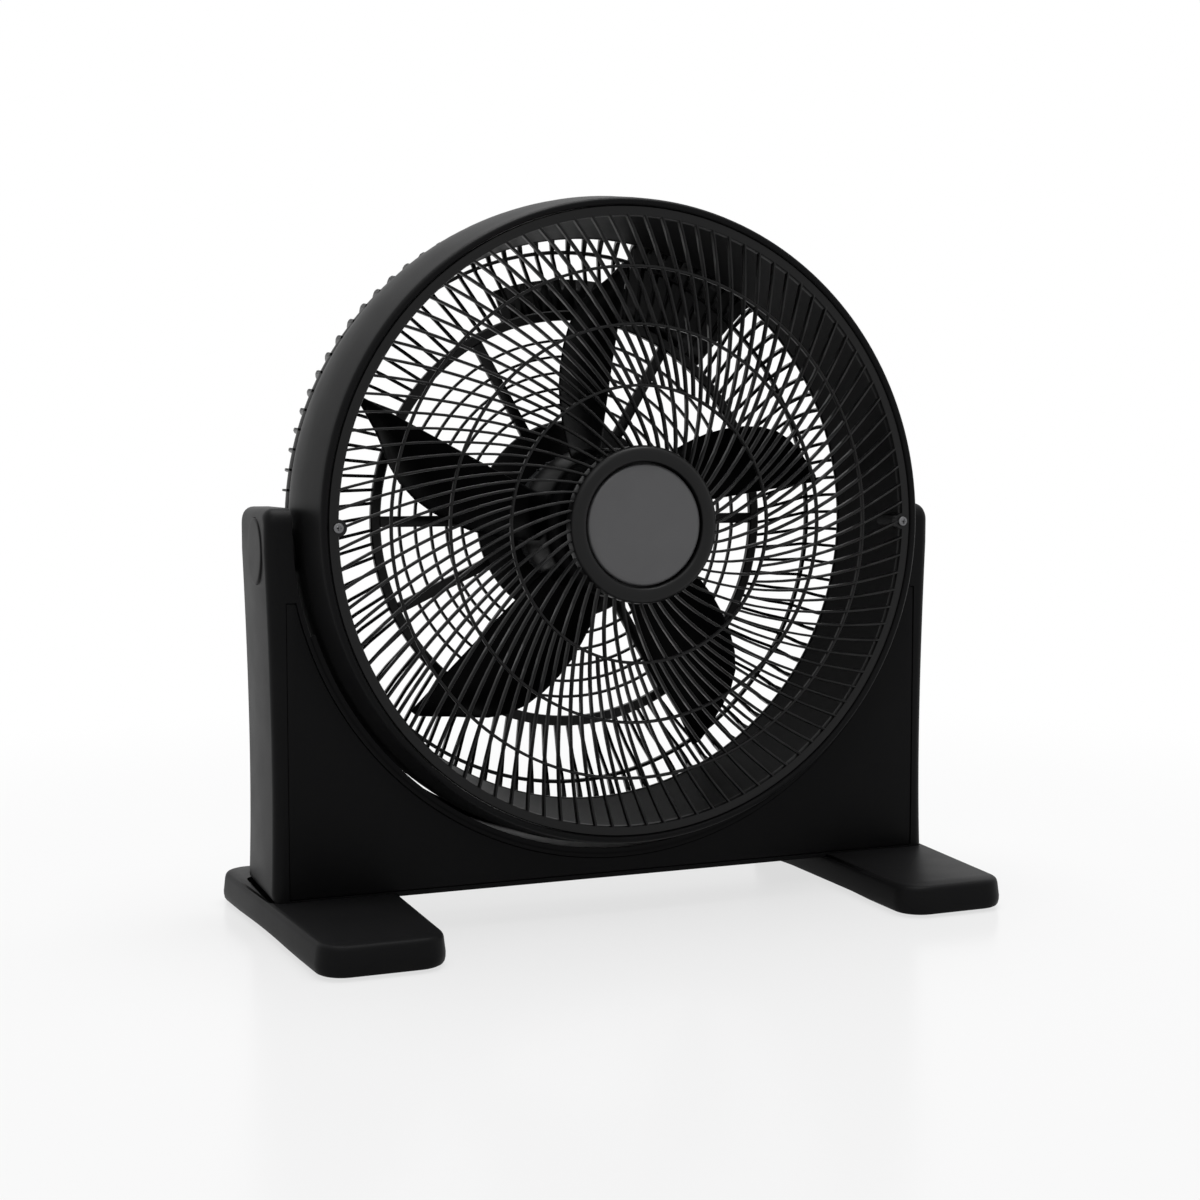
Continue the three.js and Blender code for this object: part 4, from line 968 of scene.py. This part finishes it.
def carved(bm, *cutters):
    """The mesh with each cutter's volume taken away."""
    bmesh.ops.recalc_face_normals(bm, faces=bm.faces)
    block = temporary("carved_block", bm)
    for cutter in cutters:
        bmesh.ops.recalc_face_normals(cutter, faces=cutter.faces)
        tool = temporary("carving_tool", cutter)
        boolean = block.modifiers.new("carve", "BOOLEAN")
        boolean.operation = "DIFFERENCE"
        boolean.solver = "EXACT"
        boolean.object = tool
        bpy.context.view_layer.update()
        shaped = block.evaluated_get(bpy.context.evaluated_depsgraph_get())
        mesh = bpy.data.meshes.new_from_object(shaped)
        block.modifiers.clear()
        block.data = mesh
        bpy.data.objects.remove(tool)
    result = bmesh.new()
    result.from_mesh(block.data)
    bpy.data.objects.remove(block)
    return result


def temporary(name, bm):
    mesh = bpy.data.meshes.new(name)
    bm.to_mesh(mesh)
    bm.free()
    made = bpy.data.objects.new(name, mesh)
    bpy.context.scene.collection.objects.link(made)
    return made


def append(bm, other):
    """Adds another mesh in the making to this one."""
    mesh = bpy.data.meshes.new("appended")
    other.to_mesh(mesh)
    other.free()
    bm.from_mesh(mesh)
    bpy.data.meshes.remove(mesh)


def along_x(edge):
    first, second = (vert.co for vert in edge.verts)
    return abs(first.y - second.y) < 1e-5 and abs(first.z - second.z) < 1e-5


def build_stand_body(stand):
    side = stand_side(stand)
    arc = arc_points(stand.cutout_radius, 0, -180, 120)
    right = [*side, (stand.half_width, stand.top)]
    outline = [
        *right, (stand.cutout_radius, stand.top), *arc, (-stand.cutout_radius, stand.top),
        *[(-x, z) for x, z in reversed(right)],
    ]
    bm = bmesh.new()
    prism(bm, outline, stand.front, stand.rear)
    arm_tops = [
        edge for edge in bm.edges
        if along_x(edge) and abs(edge.verts[0].co.z - stand.top) < 1e-5
    ]
    bevel(bm, arm_tops, stand.arm_top_radius, 12)
    outer = [
        edge for edge in bm.edges
        if is_rim(edge) and min(abs(vert.co.x) for vert in edge.verts) > stand.waist - 3 * MM
        and not along_x(edge)
    ]
    bevel(bm, outer, stand.corner - 3 * MM, 6)
    hollow = bmesh.new()
    prism(hollow, panel_outline(stand, 0), stand.front - 5 * MM, stand.rear - STAND_WALL)
    cutters = [hollow]
    for _, side_sign in SIDES:
        for radius, near, far in PIVOT_BORES:
            cutter = bmesh.new()
            cylinder(
                cutter, radius * MM,
                (side_sign * near * MM, stand.pivot_depth, stand.pivot_height),
                (side_sign * far * MM, stand.pivot_depth, stand.pivot_height), 72,
            )
            cutters.append(cutter)
        for x, z in PANEL_SCREWS:
            cutter = bmesh.new()
            x = side_sign * x * MM
            cylinder(cutter, 5.4 * MM, (x, 93 * MM, z * MM), (x, 98 * MM, z * MM), 32)
            cutters.append(cutter)
    bm = carved(bm, *cutters)
    cutout_lips(bm, stand)
    return finished(bm, "stand_body", "stand", "satin_black_plastic", "stand_shell")


def cutout_lips(bm, stand):
    """Thin flanges round the cutout's front and rear edges, which narrow the gap to the shroud."""
    front_start, front_reach, front_thickness = FRONT_LIP
    rear_start, rear_reach, rear_thickness = REAR_LIP
    for start, reach, low, high in (
        (front_start, front_reach, stand.front, stand.front + front_thickness),
        (rear_start, rear_reach, stand.rear - rear_thickness, stand.rear),
    ):
        outer = arc_points(stand.cutout_radius + 0.5 * MM, start, -180 - start, 120)
        inner = arc_points(stand.cutout_radius - reach, -180 - start, start, 120)
        prism(bm, [*outer, *inner], low, high)


def is_rim(edge):
    """True where an edge lies between the side of a slab and its front, rear or top."""
    if len(edge.link_faces) != 2:
        return False
    first, second = (face.normal for face in edge.link_faces)
    return (abs(first.x) > 0.9) != (abs(second.x) > 0.9)


def build_stand_panel(stand):
    bm = bmesh.new()
    start = stand.front + 0.6 * MM
    prism(bm, panel_outline(stand, 0.35 * MM), start, start + PANEL_THICKNESS)
    front_edges = [
        edge for edge in bm.edges if all(abs(vert.co.y - start) < 1e-6 for vert in edge.verts)
    ]
    bevel(bm, front_edges, 0.9 * MM, 3)
    return finished(bm, "stand_front_panel", "stand", "satin_black_plastic", "stand_front_cover")


# ------------------------------------------------------------------ feet
FOOT_INNER = 184 * MM
FOOT_OUTER_FRONT = 277 * MM
FOOT_OUTER_REAR = 300 * MM
FOOT_HALF_LENGTH = 139 * MM
FOOT_CORNER = 22 * MM
FOOT_WALL = 7 * MM
ARCH_REACH = 89 * MM
ARCH_RISE = 3 * MM
PAD_SOCKETS = (mm(-119, 230.5), mm(119, 242))  # depth and width


def rounded_corners(corners, radius, steps):
    """Rounds each corner of a convex (x, y) outline given counter-clockwise."""
    points = []
    count = len(corners)
    for i in range(count):
        here = Vector(corners[i])
        back = (Vector(corners[i - 1]) - here).normalized()
        ahead = (Vector(corners[(i + 1) % count]) - here).normalized()
        half = math.acos(max(-1.0, min(1.0, back.dot(ahead)))) / 2
        centre = here + (back + ahead).normalized() * (radius / math.sin(half))
        start = here + back * (radius / math.tan(half)) - centre
        turn = math.pi - 2 * half
        for step in range(steps + 1):
            points.append(centre + Matrix.Rotation(turn * step / steps, 2) @ start)
    return points


def foot_outline(side, inset, steps=8):
    inner, half = FOOT_INNER + inset, FOOT_HALF_LENGTH - inset
    corners = [
        (inner, -half), (FOOT_OUTER_FRONT - inset, -half), (FOOT_OUTER_REAR - inset, half), (inner, half),
    ]
    points = rounded_corners(corners, FOOT_CORNER - inset, steps)
    if side < 0:
        points = [Vector((-point.x, point.y)) for point in reversed(points)]
    return points


def build_foot(side_name, side, stand):
    bm = bmesh.new()
    levels = (
        (2, 3), (2.7, 1.7), (4, 0.8), (7, 0.1), (10, 0), (20.4, 1.3), (22.2, 1.8), (23.6, 2.7),
        (24.5, 3.9), (25, 5.6),
    )
    sweep(bm, [
        [Vector((point.x, point.y, height * MM)) for point in foot_outline(side, inset * MM)]
        for height, inset in levels
    ])
    pocket = bmesh.new()
    sweep(pocket, [
        [Vector((point.x, point.y, height * MM)) for point in foot_outline(side, FOOT_WALL)]
        for height in (-1, 19)
    ])
    seat = bmesh.new()
    clearance = 0.4 * MM
    corners = [
        (-stand.half_width - clearance, stand.front - clearance),
        (stand.half_width + clearance, stand.front - clearance),
        (stand.half_width + clearance, stand.rear + clearance),
        (-stand.half_width - clearance, stand.rear + clearance),
    ]
    sweep(seat, [
        [Vector((point.x, point.y, height)) for point in rounded_corners(corners, 12 * MM, 8)]
        for height in (stand.bottom - 0.3 * MM, 30 * MM)
    ])
    arch = bmesh.new()
    low, foot_bottom = 1 * MM, 2 * MM
    shares = [1 - 2 * i / 24 for i in range(25)]
    bow = [(ARCH_REACH * share, foot_bottom + ARCH_RISE * (1 - share ** 2)) for share in shares]
    face = arch.faces.new([
        arch.verts.new((side * 170 * MM, y, z)) for y, z in [(-ARCH_REACH, low), (ARCH_REACH, low), *bow]
    ])
    grown = bmesh.ops.extrude_face_region(arch, geom=[face])["geom"]
    fresh = [item for item in grown if isinstance(item, bmesh.types.BMVert)]
    bmesh.ops.translate(arch, verts=fresh, vec=(side * 140 * MM, 0, 0))
    bm = carved(bm, pocket, arch, seat)
    for y, width in PAD_SOCKETS:
        x = side * width
        cylinder(bm, 12 * MM, (x, y, foot_bottom), (x, y, 21 * MM), 32)
    return finished(bm, f"stand_foot_{side_name}", "stand", "satin_black_plastic", f"foot_{side_name}")


# ------------------------------------------------------------------ pivots and screws
def build_pivot_cap(side_name, side, stand):
    bm = bmesh.new()
    outer = 286.5 * MM
    levels = ((283.3, 25.3), (285.2, 25.3), (285.7, 25), (286, 24.3), (286.2, 23), (286.35, 15),
              (286.4, 5))
    sweep(bm, [
        [
            Vector((
                side * place * MM,
                stand.pivot_depth + radius * MM * math.cos(FULL_TURN * i / 72),
                stand.pivot_height + radius * MM * math.sin(FULL_TURN * i / 72),
            ))
            for i in range(72)
        ]
        for place, radius in levels
    ])
    return finished(
        bm, f"tilt_cap_{side_name}", "stand", "satin_black_plastic", f"pivot_cap_{side_name}"
    )


def cross_screw(bm, tip, head_at, radius, head_radius, head_height):
    """A pan-head screw with a cross recess, from its tip to the seat of its head."""
    tip, seat = Vector(tip), Vector(head_at)
    out = (seat - tip).normalized()
    cylinder(bm, radius, tip, seat + out * 0.2 * MM, 16)
    local = bmesh.new()
    steps = 32
    levels = (
        (head_radius, 0), (head_radius, head_height * 0.35), (head_radius * 0.9, head_height * 0.72),
        (head_radius * 0.7, head_height * 0.94), (head_radius * 0.56, head_height),
    )
    sweep(local, [
        [
            Vector((size * math.cos(FULL_TURN * i / steps), size * math.sin(FULL_TURN * i / steps), up))
            for i in range(steps)
        ]
        for size, up in levels
    ])
    for flip in (False, True):
        slot = bmesh.new()
        long, short = head_radius * 0.5, head_radius * 0.1
        a, b = (short, long) if flip else (long, short)
        box(slot, (-a, -b, head_height * 0.45), (a, b, head_height * 2))
        local = carved(local, slot)
    turn = out.to_track_quat("Z", "Y").to_matrix().to_4x4()
    bmesh.ops.transform(local, matrix=Matrix.Translation(seat) @ turn, verts=local.verts)
    append(bm, local)


def build_screws():
    """Every screw that can be seen from outside, each in its CAD node's place."""
    outside = [
        node for node in frame["nodes"] if "screw" in node and not node.startswith("motor_screw")
    ]
    for node in sorted(outside):
        low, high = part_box(node)
        middle = (low + high) / 2
        bm = bmesh.new()
        if node.startswith("foot_screw"):
            tip, seat = (middle.x, middle.y, high.z), (middle.x, middle.y, low.z + 2.4 * MM)
            cross_screw(bm, tip, seat, 2 * MM, 4.4 * MM, 2.4 * MM)
            body = "stand"
        elif node.startswith("grille_screw"):
            tip, seat = (middle.x, high.y, middle.z), (middle.x, low.y + 1.8 * MM, middle.z)
            cross_screw(bm, tip, seat, 1.8 * MM, 3.8 * MM, 1.8 * MM)
            body = "head"
        else:
            body = "stand" if node.startswith("cover_screw") else "head"
            size = 4.4 if body == "stand" else 3.7
            tip, seat = (middle.x, low.y, middle.z), (middle.x, high.y - 2.1 * MM, middle.z)
            cross_screw(bm, tip, seat, 1.8 * MM, size * MM, 2 * MM)
        finished(bm, f"{node}_detail", body, "zinc_plated_steel", node)


def dress_frame():
    """Gives every CAD node that still shows the finish of its material slot."""
    for part in frame["record"]["subparts"]:
        node = frame["nodes"][part["node"]]
        node.data.materials.clear()
        node.data.materials.append(FINISHES[part["material_slot"]])


# ------------------------------------------------------------------ stage
CAMERA_PLACE = (-0.5461, -1.3082, 0.3496)
CAMERA_TURN = (math.radians(85.8), 0, math.radians(-22))
CAMERA_LENS = 53.25
FLOOR_REACH = 12.0
FILL_LIGHT = 0.08  # strength of the world's light on the fan; what is seen of it has 1
LAMP_TARGET = (0, 0, 0.3)
LAMPS = (  # name, place, width and height, power
    ("key_softbox", (-1.0, -1.6, 2.5), (1.6, 1.2), 11),
    ("top_softbox", (0.2, 0.3, 2.6), (2.2, 1.6), 66),
    ("side_softbox", (-2.4, 0.2, 1.1), (1.0, 1.8), 0.5),
)


def lamp(name, place, size, power):
    light = bpy.data.lights.new(name, "AREA")
    light.shape = "RECTANGLE"
    light.size, light.size_y = size
    light.energy = power
    holder = bpy.data.objects.new(name, light)
    holder.location = place
    aim = Vector(LAMP_TARGET) - Vector(place)
    holder.rotation_euler = aim.to_track_quat("-Z", "Y").to_euler()
    bpy.context.scene.collection.objects.link(holder)


def build_stage(colours):
    scene = bpy.context.scene
    scene.view_settings.view_transform = "Standard"
    bm = bmesh.new()
    bmesh.ops.create_grid(bm, x_segments=1, y_segments=1, size=FLOOR_REACH)
    mesh = bpy.data.meshes.new("studio_floor")
    bm.to_mesh(mesh)
    bm.free()
    floor = bpy.data.objects.new("studio_floor", mesh)
    scene.collection.objects.link(floor)
    mesh.materials.append(floor_finish(colours.floor))

    sky = Finish("studio", world=True)
    strength = FILL_LIGHT + sky.seen() * (1.0 - FILL_LIGHT)
    scene.world = sky.surface(Color=(1, 1, 1, 1), Strength=strength)
    for plan in LAMPS:
        lamp(*plan)

    lens = bpy.data.cameras.new("photo_camera")
    lens.lens = CAMERA_LENS
    lens.sensor_width = 36
    lens.clip_start = 0.05
    camera = bpy.data.objects.new("photo_camera", lens)
    camera.location = CAMERA_PLACE
    camera.rotation_euler = CAMERA_TURN
    scene.collection.objects.link(camera)
    scene.camera = camera


def floor_finish(tint):
    """A pale sweep that stays nearly white and keeps soft shadows and a faint sheen."""
    finish = Finish("studio_floor")
    tone = finish.mixed(finish.noise(300.0), scaled(tint, 0.995), tint)
    finish.surface(Base_Color=tone, Roughness=0.2, Metallic=0.0)
    away = finish.node("ShaderNodeVectorMath", {"operation": "LENGTH"}, {0: finish.place()}, "Value")
    nearness = finish.node(
        "ShaderNodeMapRange", {"interpolation_type": "SMOOTHSTEP"},
        {"Value": away, "From Min": 0.45, "From Max": 1.3, "To Min": 0.3, "To Max": 0.0},
    )
    plain = Value(finish, finish.shader.outputs[0])
    glow = finish.node("ShaderNodeEmission", None, {"Color": (1, 1, 1, 1), "Strength": 1.0})
    share = finish.seen() * (1.0 - nearness)
    blend = finish.node("ShaderNodeMixShader", None, {0: share, 1: plain, 2: glow})
    finish.feed(finish.tree.nodes["Material Output"].inputs["Surface"], blend)
    return finish.owner


# ------------------------------------------------------------------ operators
class FAN_OT_finishes(bpy.types.Operator):
    """Make the finishes and give them to the CAD nodes"""

    bl_idname = "fan.finishes"
    bl_label = "Finishes"

    def execute(self, context):
        make_finishes(context.scene.fan_colours)
        dress_frame()
        return {"FINISHED"}


class FAN_OT_shroud(bpy.types.Operator):
    """Build the shroud with its pivot blocks"""

    bl_idname = "fan.shroud"
    bl_label = "Shroud"

    def execute(self, context):
        build_shroud(context.scene.fan_head, context.scene.fan_stand)
        return {"FINISHED"}


class FAN_OT_front_guard(bpy.types.Operator):
    """Build the front guard's spokes and rings, and the hub badge"""

    bl_idname = "fan.front_guard"
    bl_label = "Front Guard"

    def execute(self, context):
        head = context.scene.fan_head
        build_front_spokes(head)
        build_front_rings(head)
        build_badge(head)
        return {"FINISHED"}


class FAN_OT_rear_guard(bpy.types.Operator):
    """Build the rear guard's fins, rings and struts"""

    bl_idname = "fan.rear_guard"
    bl_label = "Rear Guard"

    def execute(self, context):
        build_rear_spokes(context.scene.fan_head)
        build_rear_plate()
        build_rear_rings()
        return {"FINISHED"}


class FAN_OT_rotor(bpy.types.Operator):
    """Build the paddles and their hub"""

    bl_idname = "fan.rotor"
    bl_label = "Rotor"

    def execute(self, context):
        build_blades(context.scene.fan_head)
        return {"FINISHED"}


class FAN_OT_motor(bpy.types.Operator):
    """Build the motor's bells and stack"""

    bl_idname = "fan.motor"
    bl_label = "Motor"

    def execute(self, context):
        build_motor()
        return {"FINISHED"}


class FAN_OT_rear_cover(bpy.types.Operator):
    """Build the rear cover, the speed dial and the cord inlet"""

    bl_idname = "fan.rear_cover"
    bl_label = "Rear Cover"

    def execute(self, context):
        build_rear_cover()
        build_dial()
        build_cord_inlet()
        return {"FINISHED"}


class FAN_OT_stand(bpy.types.Operator):
    """Build the stand's body and front panel"""

    bl_idname = "fan.stand"
    bl_label = "Stand"

    def execute(self, context):
        build_stand_body(context.scene.fan_stand)
        build_stand_panel(context.scene.fan_stand)
        return {"FINISHED"}


class FAN_OT_feet(bpy.types.Operator):
    """Build the two feet"""

    bl_idname = "fan.feet"
    bl_label = "Feet"

    def execute(self, context):
        for side_name, side in SIDES:
            build_foot(side_name, side, context.scene.fan_stand)
        return {"FINISHED"}


class FAN_OT_fittings(bpy.types.Operator):
    """Build the tilt caps and the screws"""

    bl_idname = "fan.fittings"
    bl_label = "Fittings"

    def execute(self, context):
        for side_name, side in SIDES:
            build_pivot_cap(side_name, side, context.scene.fan_stand)
        build_screws()
        return {"FINISHED"}


class FAN_OT_stage(bpy.types.Operator):
    """Set up the floor, the light and the camera"""

    bl_idname = "fan.stage"
    bl_label = "Stage"

    def execute(self, context):
        build_stage(context.scene.fan_colours)
        return {"FINISHED"}


STEPS = (
    FAN_OT_finishes, FAN_OT_shroud, FAN_OT_front_guard, FAN_OT_rear_guard, FAN_OT_rotor,
    FAN_OT_motor, FAN_OT_rear_cover, FAN_OT_stand, FAN_OT_feet, FAN_OT_fittings, FAN_OT_stage,
)


class FAN_PT_panel(bpy.types.Panel):
    """Lists the fan's sizes, colours and building steps"""

    bl_label = "Air Circulator Fan"
    bl_idname = "FAN_PT_panel"
    bl_space_type = "VIEW_3D"
    bl_region_type = "UI"
    bl_category = "Fan"

    def draw(self, context):
        for group in (context.scene.fan_head, context.scene.fan_stand, context.scene.fan_colours):
            column = self.layout.column(align=True)
            for name in group.__annotations__:
                column.prop(group, name)
        for step in STEPS:
            self.layout.operator(step.bl_idname)


CLASSES = (FanHeadSizes, FanStandSizes, FanColours, *STEPS, FAN_PT_panel)


def register():
    for item in CLASSES:
        bpy.utils.register_class(item)
    bpy.types.Scene.fan_head = PointerProperty(type=FanHeadSizes)
    bpy.types.Scene.fan_stand = PointerProperty(type=FanStandSizes)
    bpy.types.Scene.fan_colours = PointerProperty(type=FanColours)


def unregister():
    del bpy.types.Scene.fan_colours
    del bpy.types.Scene.fan_stand
    del bpy.types.Scene.fan_head
    for item in reversed(CLASSES):
        bpy.utils.unregister_class(item)


def main():
    register()
    bpy.ops.fan.finishes()
    bpy.ops.fan.shroud()
    bpy.ops.fan.front_guard()
    bpy.ops.fan.rear_guard()
    bpy.ops.fan.rotor()
    bpy.ops.fan.motor()
    bpy.ops.fan.rear_cover()
    bpy.ops.fan.stand()
    bpy.ops.fan.feet()
    bpy.ops.fan.fittings()
    bpy.ops.fan.stage()


if __name__ == "__main__":
    main()
